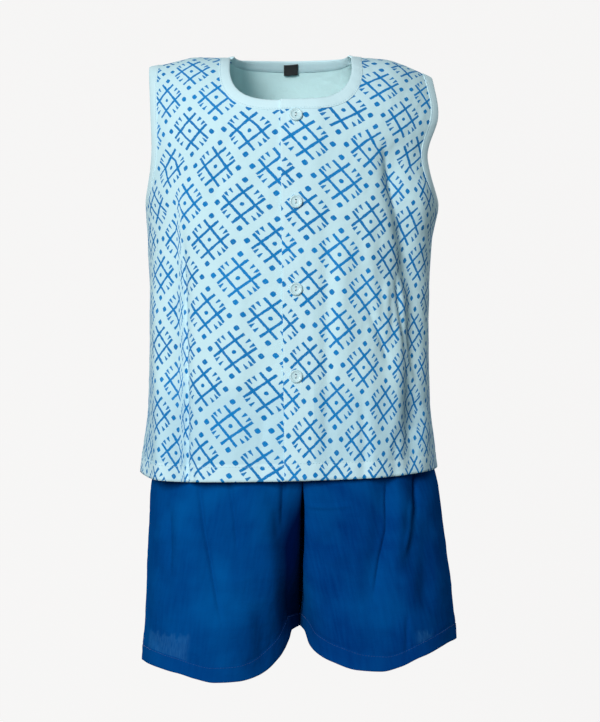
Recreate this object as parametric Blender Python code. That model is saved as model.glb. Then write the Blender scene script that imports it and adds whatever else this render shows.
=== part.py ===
"""Child's summer set, filled out as when worn: a sleeveless button-front top over flared shorts.

Metres, +Z up, front faces -Y, +X is the wearer's left. The origin is the middle of the
shoulder line, where the wearer holds the top up. Every cloth piece is a wall on a middle
surface that is worked out from level sections, cut lines and folds.
"""

import math
from typing import NamedTuple

import bmesh
import bpy
import numpy as np

# Cloth and seams
WALL = 0.0015
SEAM_GAP = 0.0003
ARM_SEAM_GAP = 0.0005
BINDING_WIDTH = 0.0095
BINDING_THICK = 0.0020
BINDING_EDGE_SHARE = 0.72
OVERLAP_LIFT = 0.0027
TOP_HEM_DEPTH = 0.0150
LEG_HEM_DEPTH = 0.0135
HEM_EXTRA = 0.0006
HEM_STEP = 0.0006
FOLD_CALM = 0.0300
FOLD_TAPER = 0.30
FOLD_TAIL = 1.12

# Shoulders
ROLL = 0.092
FULLNESS_LEFT = 0.055
FULLNESS_RIGHT = 0.095

# Neck opening, as seen from the front
NECK_X = -0.0036
NECK_HALF_WIDTH = 0.0540
NECK_DROP_FRONT = 0.0460
NECK_SQUARENESS = 3.3
NECK_BACK_Z = 0.0065
NECK_BACK_SQUARENESS = 2.6

# Armholes, as seen from the side
ARM_LOW_Z = -0.1300
ARM_FRONT = 0.0340
ARM_BACK = 0.0330
ARM_EGG = 0.36

# Front closing
OVER_EDGE_TOP_X = -0.0124
OVER_EDGE_LOW_X = -0.0086
UNDER_EDGE_X = 0.0130
LIFT_START_X = 0.0140
LIFT_SPAN_X = 0.0210
BUTTON_X = 0.0010
BUTTON_TOP_Z = -0.0602
BUTTON_PITCH = 0.0746
BUTTON_COUNT = 4
BUTTON_RADIUS = 0.0057
BUTTON_THICK = 0.0024
BUTTON_HOLE_RADIUS = 0.00075
BUTTON_HOLE_OFFSET = 0.0013
BUTTON_SIDES = 20
BUTTON_HOLE_SIDES = 8
BUTTON_CUTTER_LENGTH = 3.0 * BUTTON_THICK

# Label inside the back neck
LABEL_X = -0.0034
LABEL_WIDTH = 0.0125
LABEL_HEIGHT = 0.0095
LABEL_THICK = 0.0008
LABEL_TOP_Z = 0.0035
LABEL_EASE = 0.0006

# Shorts
WAIST_TOP_Z = -0.2960
WAIST_LOW_Z = -0.3240
WAISTBAND_THICK = 0.0030
WAIST_GAP = 0.0006
LEGS_PART_Z = -0.3850
LEGS_APART_Z = -0.4400
LEG_FULLNESS = 0.05
LEG_SPREAD = 0.0075
LEG_SPREAD_FALL = 0.060

# Grid sizes: columns across a panel and rows up it
TOP_COLUMNS = 13
TOP_SEAM_ROWS = 12
TOP_ARM_ROWS = 14
NECK_ROWS_FRONT = 10
NECK_ROWS_BACK = 8
UNDERARM_ROW_Z = -0.1500
LEG_COLUMNS = 15
LEG_ROWS = 14
WAIST_STEPS = 48
DENSE = 160
LABEL_COLUMNS = 4
LABEL_ROWS = 3
SHOULDER_START_FALL = 0.0030
SHARP_ANGLE = math.radians(50.0)

# How the lines are worked out
INSET_STEPS = 5
ARM_START_TILT = 0.35
ARM_TILT_LIMIT = 0.80
ARM_ROUNDS = 30
ANGLE_ROUNDS = 12
HEIGHT_ROUNDS = 4
LEAST_ROLL = 1e-6
PROBE = 1e-4
SEAT_PROBE = 1e-3
LEVEL_START = 1.0
LEVEL_SPAN = 0.7
BEYOND_X = 1.0


class TopSection(NamedTuple):
    """A level section of the top: its side seams' places and the depths of front and back."""

    z: float
    right_seam: float
    left_seam: float
    front: float
    back: float


TOP_SECTIONS = (
    TopSection(z=-0.380, right_seam=-0.1400, left_seam=0.1285, front=0.0825, back=0.0805),
    TopSection(z=-0.364, right_seam=-0.1377, left_seam=0.1270, front=0.0815, back=0.0795),
    TopSection(z=-0.342, right_seam=-0.1345, left_seam=0.1245, front=0.0802, back=0.0775),
    TopSection(z=-0.306, right_seam=-0.1305, left_seam=0.1205, front=0.0782, back=0.0740),
    TopSection(z=-0.250, right_seam=-0.1290, left_seam=0.1195, front=0.0762, back=0.0700),
    TopSection(z=-0.207, right_seam=-0.1292, left_seam=0.1200, front=0.0758, back=0.0690),
    TopSection(z=-0.165, right_seam=-0.1312, left_seam=0.1222, front=0.0752, back=0.0705),
    TopSection(z=-0.130, right_seam=-0.1328, left_seam=0.1280, front=0.0745, back=0.0720),
    TopSection(z=-0.095, right_seam=-0.1336, left_seam=0.1305, front=0.0735, back=0.0725),
    TopSection(z=-0.050, right_seam=-0.1345, left_seam=0.1345, front=0.0720, back=0.0715),
    TopSection(z=-0.010, right_seam=-0.1345, left_seam=0.1290, front=0.0700, back=0.0700),
    TopSection(z=0.030, right_seam=-0.1345, left_seam=0.1270, front=0.0700, back=0.0700),
)


class ShoulderPoint(NamedTuple):
    """Height of the shoulder line at a place across it; past the neck points it is only a guide."""

    x: float
    front: float
    back: float


SHOULDER_LINE = (
    ShoulderPoint(x=-0.140, front=-0.0085, back=-0.0085),
    ShoulderPoint(x=-0.118, front=-0.0050, back=-0.0050),
    ShoulderPoint(x=-0.085, front=0.0012, back=0.0012),
    ShoulderPoint(x=-0.058, front=0.0002, back=0.0002),
    ShoulderPoint(x=-0.048, front=0.0020, back=0.0120),
    ShoulderPoint(x=-0.030, front=0.0045, back=0.0215),
    ShoulderPoint(x=-0.003, front=0.0060, back=0.0265),
    ShoulderPoint(x=0.024, front=0.0050, back=0.0220),
    ShoulderPoint(x=0.041, front=0.0030, back=0.0130),
    ShoulderPoint(x=0.051, front=0.0015, back=0.0015),
    ShoulderPoint(x=0.080, front=-0.0005, back=-0.0005),
    ShoulderPoint(x=0.103, front=-0.0080, back=-0.0080),
    ShoulderPoint(x=0.122, front=-0.0165, back=-0.0165),
    ShoulderPoint(x=0.140, front=-0.0240, back=-0.0240),
)


class HemPoint(NamedTuple):
    """Height of the top's hem at an angle round the body, in degrees from the left side seam."""

    angle: float
    z: float


TOP_HEM = (
    HemPoint(angle=0.0, z=-0.3650),
    HemPoint(angle=30.0, z=-0.3675),
    HemPoint(angle=62.0, z=-0.3715),
    HemPoint(angle=100.0, z=-0.3735),
    HemPoint(angle=134.0, z=-0.3745),
    HemPoint(angle=160.0, z=-0.3690),
    HemPoint(angle=180.0, z=-0.3635),
    HemPoint(angle=215.0, z=-0.3680),
    HemPoint(angle=270.0, z=-0.3720),
    HemPoint(angle=325.0, z=-0.3690),
    HemPoint(angle=360.0, z=-0.3650),
)


class HipSection(NamedTuple):
    """A level section of the shorts: side seams, each leg's deepest place, and the depths there."""

    z: float
    right_seam: float
    left_seam: float
    right_apex: float
    left_apex: float
    front: float
    back: float


HIP_SECTIONS = (
    HipSection(z=-0.570, right_seam=-0.1395, left_seam=0.1500, right_apex=-0.070, left_apex=0.076,
               front=0.0850, back=0.0800),
    HipSection(z=-0.540, right_seam=-0.1372, left_seam=0.1465, right_apex=-0.068, left_apex=0.074,
               front=0.0835, back=0.0790),
    HipSection(z=-0.508, right_seam=-0.1341, left_seam=0.1435, right_apex=-0.066, left_apex=0.071,
               front=0.0815, back=0.0780),
    HipSection(z=-0.464, right_seam=-0.1323, left_seam=0.1387, right_apex=-0.060, left_apex=0.064,
               front=0.0790, back=0.0765),
    HipSection(z=-0.420, right_seam=-0.1306, left_seam=0.1328, right_apex=-0.044, left_apex=0.050,
               front=0.0765, back=0.0745),
    HipSection(z=-0.380, right_seam=-0.1284, left_seam=0.1276, right_apex=-0.018, left_apex=0.024,
               front=0.0735, back=0.0705),
    HipSection(z=-0.350, right_seam=-0.1190, left_seam=0.1185, right_apex=-0.006, left_apex=0.010,
               front=0.0700, back=0.0655),
    HipSection(z=-0.324, right_seam=-0.1030, left_seam=0.0990, right_apex=0.000, left_apex=0.004,
               front=0.0665, back=0.0620),
    HipSection(z=-0.296, right_seam=-0.0930, left_seam=0.0930, right_apex=0.001, left_apex=0.003,
               front=0.0640, back=0.0600),
)


class SeamPoint(NamedTuple):
    """The seam between the legs: its place across, and its depth in front and behind."""

    z: float
    x: float
    front: float
    back: float


LEG_SEAM = (
    SeamPoint(z=-0.540, x=0.0040, front=-0.0045, back=0.0055),
    SeamPoint(z=-0.512, x=0.0042, front=-0.0045, back=0.0055),
    SeamPoint(z=-0.503, x=0.0045, front=0.0030, back=0.0110),
    SeamPoint(z=-0.492, x=0.0048, front=0.0250, back=0.0300),
    SeamPoint(z=-0.474, x=0.0052, front=0.0460, back=0.0500),
    SeamPoint(z=-0.452, x=0.0058, front=0.0600, back=0.0640),
    SeamPoint(z=-0.420, x=0.0066, front=0.0680, back=0.0705),
    SeamPoint(z=-0.380, x=0.0070, front=0.0715, back=0.0695),
    SeamPoint(z=-0.350, x=0.0060, front=0.0697, back=0.0652),
    SeamPoint(z=-0.324, x=0.0040, front=0.0664, back=0.0619),
    SeamPoint(z=-0.296, x=0.0020, front=0.0640, back=0.0600),
)


class LegHemPoint(NamedTuple):
    """Height of a leg's hem from its side seam (0) over its deepest place (1) to the inseam (2)."""

    place: float
    right_front: float
    right_back: float
    left_front: float
    left_back: float


LEG_HEM = (
    LegHemPoint(place=0.00, right_front=-0.5390, right_back=-0.5390, left_front=-0.5190, left_back=-0.5190),
    LegHemPoint(place=0.35, right_front=-0.5350, right_back=-0.5360, left_front=-0.5155, left_back=-0.5175),
    LegHemPoint(place=0.70, right_front=-0.5400, right_back=-0.5390, left_front=-0.5245, left_back=-0.5245),
    LegHemPoint(place=1.00, right_front=-0.5468, right_back=-0.5420, left_front=-0.5362, left_back=-0.5300),
    LegHemPoint(place=1.40, right_front=-0.5400, right_back=-0.5360, left_front=-0.5285, left_back=-0.5230),
    LegHemPoint(place=1.70, right_front=-0.5200, right_back=-0.5190, left_front=-0.5175, left_back=-0.5150),
    LegHemPoint(place=2.00, right_front=-0.5080, right_back=-0.5080, left_front=-0.5085, left_back=-0.5085),
)


class Fold(NamedTuple):
    """A soft valley (depth below 0) or ridge on one face, between two places seen from the front."""

    face: str
    x_top: float
    z_top: float
    x_low: float
    z_low: float
    half_width: float
    depth: float


TOP_FOLDS = (
    Fold("front", -0.098, -0.165, -0.086, -0.400, 0.011, -0.0030),
    Fold("front", -0.112, -0.180, -0.104, -0.400, 0.010, 0.0020),
    Fold("front", 0.080, -0.085, 0.097, -0.190, 0.013, -0.0042),
    Fold("front", 0.094, -0.180, 0.078, -0.285, 0.011, -0.0026),
    Fold("front", 0.112, -0.190, 0.104, -0.345, 0.010, -0.0030),
    Fold("front", 0.040, -0.150, 0.044, -0.290, 0.012, 0.0020),
    Fold("front", 0.062, -0.250, 0.072, -0.400, 0.012, 0.0022),
    Fold("front", -0.030, -0.260, -0.036, -0.400, 0.014, -0.0018),
    Fold("back", -0.070, -0.120, -0.060, -0.400, 0.014, -0.0035),
    Fold("back", -0.010, -0.180, -0.006, -0.400, 0.015, 0.0022),
    Fold("back", 0.056, -0.110, 0.066, -0.400, 0.014, -0.0035),
    Fold("back", 0.100, -0.160, 0.092, -0.330, 0.011, 0.0022),
)

SHORTS_FOLDS = (
    Fold("front", -0.086, -0.360, -0.068, -0.480, 0.010, -0.0032),
    Fold("front", -0.064, -0.360, -0.052, -0.430, 0.009, -0.0024),
    Fold("front", -0.112, -0.400, -0.113, -0.470, 0.009, -0.0018),
    Fold("front", 0.085, -0.360, 0.064, -0.480, 0.011, -0.0034),
    Fold("front", 0.112, -0.350, 0.098, -0.445, 0.010, -0.0050),
    Fold("front", 0.099, -0.385, 0.088, -0.445, 0.009, 0.0030),
    Fold("front", -0.022, -0.350, -0.012, -0.440, 0.011, -0.0034),
    Fold("back", -0.080, -0.350, -0.070, -0.560, 0.013, -0.0036),
    Fold("back", -0.036, -0.360, -0.040, -0.470, 0.012, -0.0026),
    Fold("back", 0.050, -0.350, 0.048, -0.560, 0.013, -0.0036),
    Fold("back", 0.096, -0.360, 0.088, -0.500, 0.012, -0.0030),
)


class ButtonRing(NamedTuple):
    """A ring of the button's profile, from its back round its rim into its sunk middle."""

    radius: float
    height: float


BUTTON_PROFILE = (
    ButtonRing(radius=0.00456, height=0.0),
    ButtonRing(radius=BUTTON_RADIUS, height=0.0009),
    ButtonRing(radius=BUTTON_RADIUS, height=0.0015),
    ButtonRing(radius=0.00502, height=BUTTON_THICK),
    ButtonRing(radius=0.00410, height=0.0023),
    ButtonRing(radius=0.00336, height=0.0017),
)


class Finish(NamedTuple):
    """A material's name, linear base colour, roughness and metallic value."""

    name: str
    colour: tuple
    roughness: float
    metallic: float


AQUA_COTTON = Finish("aqua_printed_cotton", (0.58, 0.82, 0.88), 0.85, 0.0)
AQUA_BINDING = Finish("aqua_binding", (0.62, 0.86, 0.90), 0.85, 0.0)
BLUE_COTTON = Finish("blue_sheer_cotton", (0.004, 0.045, 0.22), 0.85, 0.0)
PEARL = Finish("pearl_button", (0.85, 0.88, 0.88), 0.30, 0.0)
BLACK_TAPE = Finish("black_woven_tape", (0.015, 0.016, 0.018), 0.80, 0.0)


def clear_scene():
    """Remove every object of the scene."""
    for item in list(bpy.data.objects):
        bpy.data.objects.remove(item, do_unlink=True)


def make_material(finish):
    """A Principled material of the finish, made once and shared."""
    material = bpy.data.materials.get(finish.name)
    if material is None:
        material = bpy.data.materials.new(finish.name)
        material.use_nodes = True
        shader = material.node_tree.nodes["Principled BSDF"]
        shader.inputs["Base Color"].default_value = (*finish.colour, 1.0)
        shader.inputs["Roughness"].default_value = finish.roughness
        shader.inputs["Metallic"].default_value = finish.metallic
        material.diffuse_color = (*finish.colour, 1.0)
    return material


def smooth(rows, column, place):
    """A table's column at a place, read from a monotone cubic curve through its rows.

    The table's first column is the place; its rows run up or down.
    """
    ordered = sorted(rows, key=lambda row: row[0])
    knots = np.array([row[0] for row in ordered])
    values = np.array([getattr(row, column) for row in ordered])
    steps = np.diff(knots)
    rates = np.diff(values) / steps
    slopes = np.zeros(len(knots))
    slopes[0], slopes[-1] = rates[0], rates[-1]
    product = rates[:-1] * rates[1:]
    total = np.where(rates[:-1] + rates[1:] == 0.0, 1.0, rates[:-1] + rates[1:])
    slopes[1:-1] = np.where(product > 0.0, 2.0 * product / total, 0.0)
    at = np.clip(np.asarray(place, dtype=float), knots[0], knots[-1])
    index = np.clip(np.searchsorted(knots, at) - 1, 0, len(steps) - 1)
    step = steps[index]
    t = (at - knots[index]) / step
    return ((2 * t**3 - 3 * t**2 + 1) * values[index] + (t**3 - 2 * t**2 + t) * step * slopes[index]
            + (3 * t**2 - 2 * t**3) * values[index + 1] + (t**3 - t**2) * step * slopes[index + 1])


def ease(t):
    """A soft step from 0 to 1 for t from 0 to 1."""
    t = np.clip(t, 0.0, 1.0)
    return t * t * (3.0 - 2.0 * t)


def resample(points, count):
    """The points of a polyline at count + 1 even steps along its length."""
    lengths = np.concatenate([[0.0], np.cumsum(np.linalg.norm(np.diff(points, axis=0), axis=1))])
    marks = np.linspace(0.0, lengths[-1], count + 1)
    return np.stack([np.interp(marks, lengths, points[:, axis]) for axis in range(points.shape[1])], axis=1)


def trimmed(points, start, end):
    """A polyline shortened by start and end at its two ends."""
    lengths = np.concatenate([[0.0], np.cumsum(np.linalg.norm(np.diff(points, axis=0), axis=1))])
    marks = np.clip(lengths, start, lengths[-1] - end)
    return np.stack([np.interp(marks, lengths, points[:, axis]) for axis in range(3)], axis=1)


def bulge(angle, fullness):
    """How far a section stands outside its ellipse at an angle."""
    return 1.0 + fullness * np.sin(2.0 * angle) ** 2


def top_fullness(angle):
    """Squareness of the top's section, which is a little boxier on the wearer's right."""
    share = ease(0.5 - 0.5 * np.cos(angle))
    return FULLNESS_RIGHT * share + FULLNESS_LEFT * (1.0 - share)


def top_width(angle, z):
    """Place across of the top's cloth at an angle round the body and a height."""
    right = smooth(TOP_SECTIONS, "right_seam", z)
    left = smooth(TOP_SECTIONS, "left_seam", z)
    reach = np.cos(angle) * bulge(angle, top_fullness(angle))
    return 0.5 * (left + right) + 0.5 * (left - right) * reach


def top_depth(angle, z):
    """Depth of the top's cloth at an angle and a height, below the roll of the shoulders."""
    front = smooth(TOP_SECTIONS, "front", z)
    back = smooth(TOP_SECTIONS, "back", z)
    reach = np.sin(angle) * bulge(angle, top_fullness(angle))
    return -np.where(reach > 0.0, front, back) * reach


def shoulder_height(angle, x):
    """Height of the shoulder line over a place across, on the face that the angle is on."""
    front = smooth(SHOULDER_LINE, "front", x)
    back = smooth(SHOULDER_LINE, "back", x)
    return np.where(np.sin(angle) >= 0.0, front, back)


def top_place(angle, fall):
    """Points of the top's cloth at angles round the body and falls from the shoulder line.

    A fall of a right angle is the bottom of the shoulders' roll; past it the cloth hangs.
    """
    angle, fall = np.broadcast_arrays(np.asarray(angle, dtype=float), np.asarray(fall, dtype=float))
    turn = np.minimum(fall, math.pi / 2)
    drop = ROLL * (1.0 - np.cos(turn)) + ROLL * (fall - turn)
    z = -drop
    for _ in range(HEIGHT_ROUNDS):
        x = top_width(angle, z)
        z = shoulder_height(angle, x) - drop
    return np.stack([x, top_depth(angle, z) * np.sin(turn), z], axis=-1)


def fall_of_drop(drop):
    """The fall that lies a height below the shoulder line."""
    share = np.maximum(drop, 0.0) / ROLL
    return np.where(share < 1.0, np.arccos(1.0 - np.minimum(share, 1.0)), math.pi / 2 + share - 1.0)


def fall_at(angle, x, z):
    """The fall from the shoulder line of a place on the top's cloth."""
    return fall_of_drop(shoulder_height(angle, x) - z)


def angle_across(x, z, face):
    """The angle round the body of a place seen from the front, on the front (1) or back (-1)."""
    right = smooth(TOP_SECTIONS, "right_seam", z)
    left = smooth(TOP_SECTIONS, "left_seam", z)
    reach = np.clip((x - 0.5 * (left + right)) / (0.5 * (left - right)), -1.0, 1.0)
    angle = np.arccos(reach)
    for _ in range(ANGLE_ROUNDS):
        angle = np.arccos(np.clip(reach / bulge(angle, top_fullness(angle)), -1.0, 1.0))
    return face * angle


def hang(angle, z):
    """Fall from the shoulder line at an angle and a height."""
    return fall_at(angle, top_width(angle, z), z)


def armhole_edge(side, face, width):
    """Angles and falls of an armhole's edge from the underarm to the shoulder tip.

    side is 1 for the wearer's left and -1 for the right, face is 1 for the front and -1 for
    the back, and width is how far into the cloth the line lies from the open edge.
    """
    clock = np.linspace(0.0, math.pi, DENSE)
    base = 0.0 if side > 0 else math.pi
    under_x = float(top_width(base, ARM_LOW_Z))
    height = float(shoulder_height(base, under_x)) - ARM_LOW_Z
    fall = fall_of_drop(height * 0.5 * (1.0 + np.cos(clock)))
    reach = ARM_FRONT if face > 0 else ARM_BACK
    depth = reach * np.sin(clock) * (1.0 + ARM_EGG * np.cos(clock))
    roll = np.maximum(np.sin(np.minimum(fall, math.pi / 2)), LEAST_ROLL)
    angle = np.full(DENSE, base + side * face * ARM_START_TILT)
    for _ in range(ARM_ROUNDS):
        z = top_place(angle, fall)[:, 2]
        full = smooth(TOP_SECTIONS, "front" if face > 0 else "back", z) * bulge(angle, top_fullness(angle))
        tilt = np.arcsin(np.clip(depth / (full * roll), 0.0, ARM_TILT_LIMIT))
        angle = base + side * face * tilt
    angle[-1] = 2.0 * angle[-2] - angle[-3]
    for _ in range(INSET_STEPS if width > 0.0 else 0):
        angle, fall = inset_on_top(angle, fall, width / INSET_STEPS, side * face)
        angle[0] = base
        fall[-1] = 0.0
    return angle, fall


def inset_on_top(angle, fall, width, way):
    """A line moved sideways within the top's cloth by a width, to one side (1) or the other (-1)."""
    here = top_place(angle, fall)
    along = np.gradient(here, axis=0)
    along /= np.linalg.norm(along, axis=1, keepdims=True)
    by_angle = (top_place(angle + PROBE, fall) - here) / PROBE
    by_fall = (top_place(angle, fall + PROBE) - here) / PROBE
    normal = np.cross(by_angle, by_fall)
    normal /= np.linalg.norm(normal, axis=1, keepdims=True)
    across = np.cross(normal, along) * way
    move = np.empty((len(angle), 2))
    for row in range(len(angle)):
        frame = np.stack([by_angle[row], by_fall[row]], axis=1)
        move[row] = np.linalg.lstsq(frame, across[row] * width, rcond=None)[0]
    return angle + move[:, 0], np.maximum(fall + move[:, 1], 0.0)


def neck_edge(face, width):
    """Angles and falls of the neck's edge from the wearer's right neck point to the left one."""
    clock = np.linspace(0.0, math.pi, 2 * DENSE)
    power = 2.0 / (NECK_SQUARENESS if face > 0 else NECK_BACK_SQUARENESS)
    swing = -np.cos(clock)
    x = NECK_X + (NECK_HALF_WIDTH + width) * np.sign(swing) * np.abs(swing) ** power
    sink = np.sin(clock) ** power
    start = smooth(SHOULDER_LINE, "front", NECK_X - NECK_HALF_WIDTH - width)
    end = smooth(SHOULDER_LINE, "front", NECK_X + NECK_HALF_WIDTH + width)
    line = start + (end - start) * 0.5 * (1.0 - np.cos(clock))
    low = -(NECK_DROP_FRONT + width) if face > 0 else NECK_BACK_Z - width
    z = line + (low - 0.5 * (start + end)) * sink
    angle = angle_across(x, z, face)
    fall = fall_at(angle, x, z)
    fall[0] = fall[-1] = 0.0
    return angle, fall


def clipped_line(angle, fall, from_x, to_x):
    """The stretch of a line on the top's cloth between two places across, ends included."""
    places = top_place(angle, fall)[:, 0]
    marks = np.linspace(max(from_x, places[0]), min(to_x, places[-1]), DENSE)
    return np.interp(marks, places, angle), np.interp(marks, places, fall)


def even_line(angle, fall, count):
    """A line on the top's cloth at count + 1 places that are even along the cloth."""
    points = top_place(angle, fall)
    lengths = np.concatenate([[0.0], np.cumsum(np.linalg.norm(np.diff(points, axis=0), axis=1))])
    marks = np.linspace(0.0, lengths[-1], count + 1)
    return np.interp(marks, lengths, angle), np.interp(marks, lengths, fall)


def joined_lines(first, second):
    """Two lines joined end to start, with their shared place once."""
    return np.concatenate([first[0], second[0][1:]]), np.concatenate([first[1], second[1][1:]])


def hem_height(angle):
    """Height of the top's hem at an angle."""
    return smooth(TOP_HEM, "z", np.degrees(angle) % 360.0)


def upright_line(angle_of, z_low, z_high):
    """A line up the top's cloth between two heights; angle_of gives its angles from its heights."""
    z = np.linspace(z_low, z_high, DENSE)
    angle = angle_of(z)
    return angle, hang(angle, z)


def side_line(side, z_top):
    """A side seam from the hem up to the underarm's binding."""
    base = 0.0 if side > 0 else math.pi
    return upright_line(lambda z: np.full(DENSE, base), float(hem_height(base)), z_top)


def seam_rows(line, count):
    """Places up a seam: one at the hem, two at the top of the turned hem, then even steps."""
    points = top_place(*line)
    lengths = np.concatenate([[0.0], np.cumsum(np.linalg.norm(np.diff(points, axis=0), axis=1))])
    even = np.linspace(TOP_HEM_DEPTH + HEM_STEP, lengths[-1], count - 1)
    marks = np.concatenate([[0.0, TOP_HEM_DEPTH], even])
    return np.interp(marks, lengths, line[0]), np.interp(marks, lengths, line[1])


def top_rows(outer, inner, columns, trim_outer):
    """Rows of points between an outer and an inner line of the top's cloth.

    Rows are level below the shoulders' roll, follow the hem at the bottom, and fan up to
    the shoulder seam.
    """
    share = np.linspace(0.0, 1.0, DENSE)[:, None]
    angle = outer[0] * (1.0 - share) + inner[0] * share
    fanned = outer[1] * (1.0 - share) + inner[1] * share
    outer_z, inner_z = top_place(*outer)[:, 2], top_place(*inner)[:, 2]
    height = outer_z * (1.0 - share) + inner_z * share
    dip = hem_height(angle) - (hem_height(outer[0]) * (1.0 - share) + hem_height(inner[0]) * share)
    height = height + dip * np.linspace(1.0, 0.0, len(outer[0])) ** 2
    level = ease((fanned - LEVEL_START) / LEVEL_SPAN)
    fall = fanned * (1.0 - level) + hang(angle, height) * level
    points = top_place(angle, fall)
    rows = []
    for row in range(points.shape[1]):
        rows.append(resample(trimmed(points[:, row], trim_outer[row], 0.0), columns))
    return np.array(rows)


def sheet_normals(points, faces):
    """Outward normals at the points of a sheet, weighted by its faces' areas."""
    normals = np.zeros_like(points)
    for face in faces:
        corners = points[list(face)]
        normal = np.cross(corners[2] - corners[0], corners[3] - corners[1])
        for index in face:
            normals[index] += normal
    return normals / np.linalg.norm(normals, axis=1, keepdims=True)


def grid_faces(rows, columns, flip):
    """Four-cornered faces of a grid of (rows + 1) by (columns + 1) points."""
    faces = []
    for row in range(rows):
        for column in range(columns):
            a = row * (columns + 1) + column
            corners = (a, a + 1, a + columns + 2, a + columns + 1)
            faces.append(corners[::-1] if flip else corners)
    return faces


def fold_push(points, folds):
    """How far the folds move points out. Distances are seen from the front, and seams stay put."""
    push = np.zeros(len(points))
    place = points[:, [0, 2]]
    calm = ease(np.abs(points[:, 1]) / FOLD_CALM)
    for fold in folds:
        start = np.array([fold.x_top, fold.z_top])
        span = np.array([fold.x_low, fold.z_low]) - start
        along = ((place - start) @ span) / (span @ span)
        nearest = start + np.clip(along, 0.0, 1.0)[:, None] * span
        away = np.linalg.norm(place - nearest, axis=1) / fold.half_width
        taper = ease(along / FOLD_TAPER)
        tail = ease((FOLD_TAIL - along) / FOLD_TAPER)
        on_face = (points[:, 1] < 0.0) == (fold.face == "front")
        push += np.where(on_face, fold.depth * np.exp(-away**2) * taper * tail * calm, 0.0)
    return push


def welded(points, faces):
    """A sheet whose points at one place are made one."""
    keys = {}
    order = []
    index_of = []
    for point in points:
        key = tuple(np.round(point, 6))
        if key not in keys:
            keys[key] = len(order)
            order.append(point)
        index_of.append(keys[key])
    return np.array(order), [tuple(index_of[index] for index in face) for face in faces]


def wall_mesh(points, faces, outside, inside):
    """A closed wall on a sheet: its faces moved out and in, joined round its border."""
    normals = sheet_normals(points, faces)
    count = len(points)
    corners = np.concatenate([points + normals * outside[:, None], points - normals * inside[:, None]])
    walls = [tuple(face) for face in faces] + [tuple(i + count for i in reversed(face)) for face in faces]
    edges = {}
    for face in faces:
        for start, end in zip(face, face[1:] + face[:1]):
            edges[(start, end)] = True
    for start, end in list(edges):
        if (end, start) not in edges:
            walls.append((end, start, start + count, end + count))
    return corners, walls


def make_object(name, corners, faces, finish):
    """A smooth-shaded object from corners and faces."""
    mesh = bpy.data.meshes.new(name)
    mesh.from_pydata([tuple(corner) for corner in corners], [], faces)
    mesh.validate()
    mesh.materials.append(make_material(finish))
    mesh.shade_smooth()
    mesh.set_sharp_from_angle(angle=SHARP_ANGLE)
    item = bpy.data.objects.new(name, mesh)
    bpy.context.scene.collection.objects.link(item)
    return item


def cloth_object(name, rows, flip, folds, finish, lift=None, keep=None):
    """A panel's closed wall from its rows of middle points, folded, with a turned hem inside."""
    points = rows.reshape(-1, 3)
    faces = grid_faces(rows.shape[0] - 1, rows.shape[1] - 1, flip)
    inside = np.full(rows.shape[:2], WALL / 2)
    inside[:2] += HEM_EXTRA
    return finish_cloth(name, points, faces, inside.ravel(), folds, finish, lift, keep)


def finish_cloth(name, points, faces, inside, folds, finish, lift=None, keep=None):
    """Fold a sheet, lift it where it lies on another, and give it its wall.

    keep moves the wall's corners back to their own side of a seam.
    """
    push = fold_push(points, folds)
    if lift is not None:
        push = push + lift(points)
    points = points + sheet_normals(points, faces) * push[:, None]
    corners, walls = wall_mesh(points, faces, np.full(len(points), WALL / 2), inside)
    if keep is not None:
        keep(corners)
    return make_object(name, corners, walls, finish)


def keep_in_front(corners):
    """Keep a front's corners in front of the side and shoulder seams."""
    corners[:, 1] = np.minimum(corners[:, 1], -SEAM_GAP / 2)


def keep_behind(corners):
    """Keep the back's corners behind the side and shoulder seams."""
    corners[:, 1] = np.maximum(corners[:, 1], SEAM_GAP / 2)


def keep_left(corners):
    """Keep a left panel's corners on the left of the seam between the legs."""
    corners[:, 0] = np.maximum(corners[:, 0], smooth(LEG_SEAM, "x", corners[:, 2]) + SEAM_GAP / 2)


def keep_right(corners):
    """Keep a right panel's corners on the right of the seam between the legs."""
    corners[:, 0] = np.minimum(corners[:, 0], smooth(LEG_SEAM, "x", corners[:, 2]) - SEAM_GAP / 2)


def overlap_lift(points):
    """How far the upper front is raised where it lies over the lower one."""
    return OVERLAP_LIFT * (1.0 - ease((points[:, 0] - LIFT_START_X) / LIFT_SPAN_X))


def panel_rows(side, face, inner_angle, neck, neck_rows):
    """Rows of a front or back half of the top, from the side seam to its inner line and neck."""
    arm = even_line(*armhole_edge(side, face, BINDING_WIDTH + ARM_SEAM_GAP), TOP_ARM_ROWS)
    underarm_z = float(top_place(arm[0][:1], arm[1][:1])[0, 2])
    outer = joined_lines(seam_rows(side_line(side, underarm_z), TOP_SEAM_ROWS), arm)
    if face < 0 and side < 0:
        outer = (np.where(outer[0] > 0.0, outer[0] - 2.0 * math.pi, outer[0]), outer[1])
    hem_z = float(hem_height(face * math.pi / 2))
    neck_z = float(top_place(neck[0][:1], neck[1][:1])[0, 2])
    low = seam_rows(upright_line(inner_angle, hem_z, UNDERARM_ROW_Z), TOP_SEAM_ROWS)
    high = even_line(*upright_line(inner_angle, UNDERARM_ROW_Z, neck_z), TOP_ARM_ROWS - neck_rows)
    inner = joined_lines(joined_lines(low, high), even_line(*neck, neck_rows))
    outer = (outer[0], np.maximum(outer[1], SHOULDER_START_FALL))
    inner = (inner[0], np.maximum(inner[1], SHOULDER_START_FALL))
    trim_outer = np.where(np.arange(len(outer[0])) <= TOP_SEAM_ROWS, SEAM_GAP / 2, 0.0)
    return top_rows(outer, inner, TOP_COLUMNS, trim_outer)


def inward(line, side):
    """A neck line turned so that it starts at the middle and ends at the shoulder."""
    return line if side > 0 else (line[0][::-1], line[1][::-1])


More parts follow.
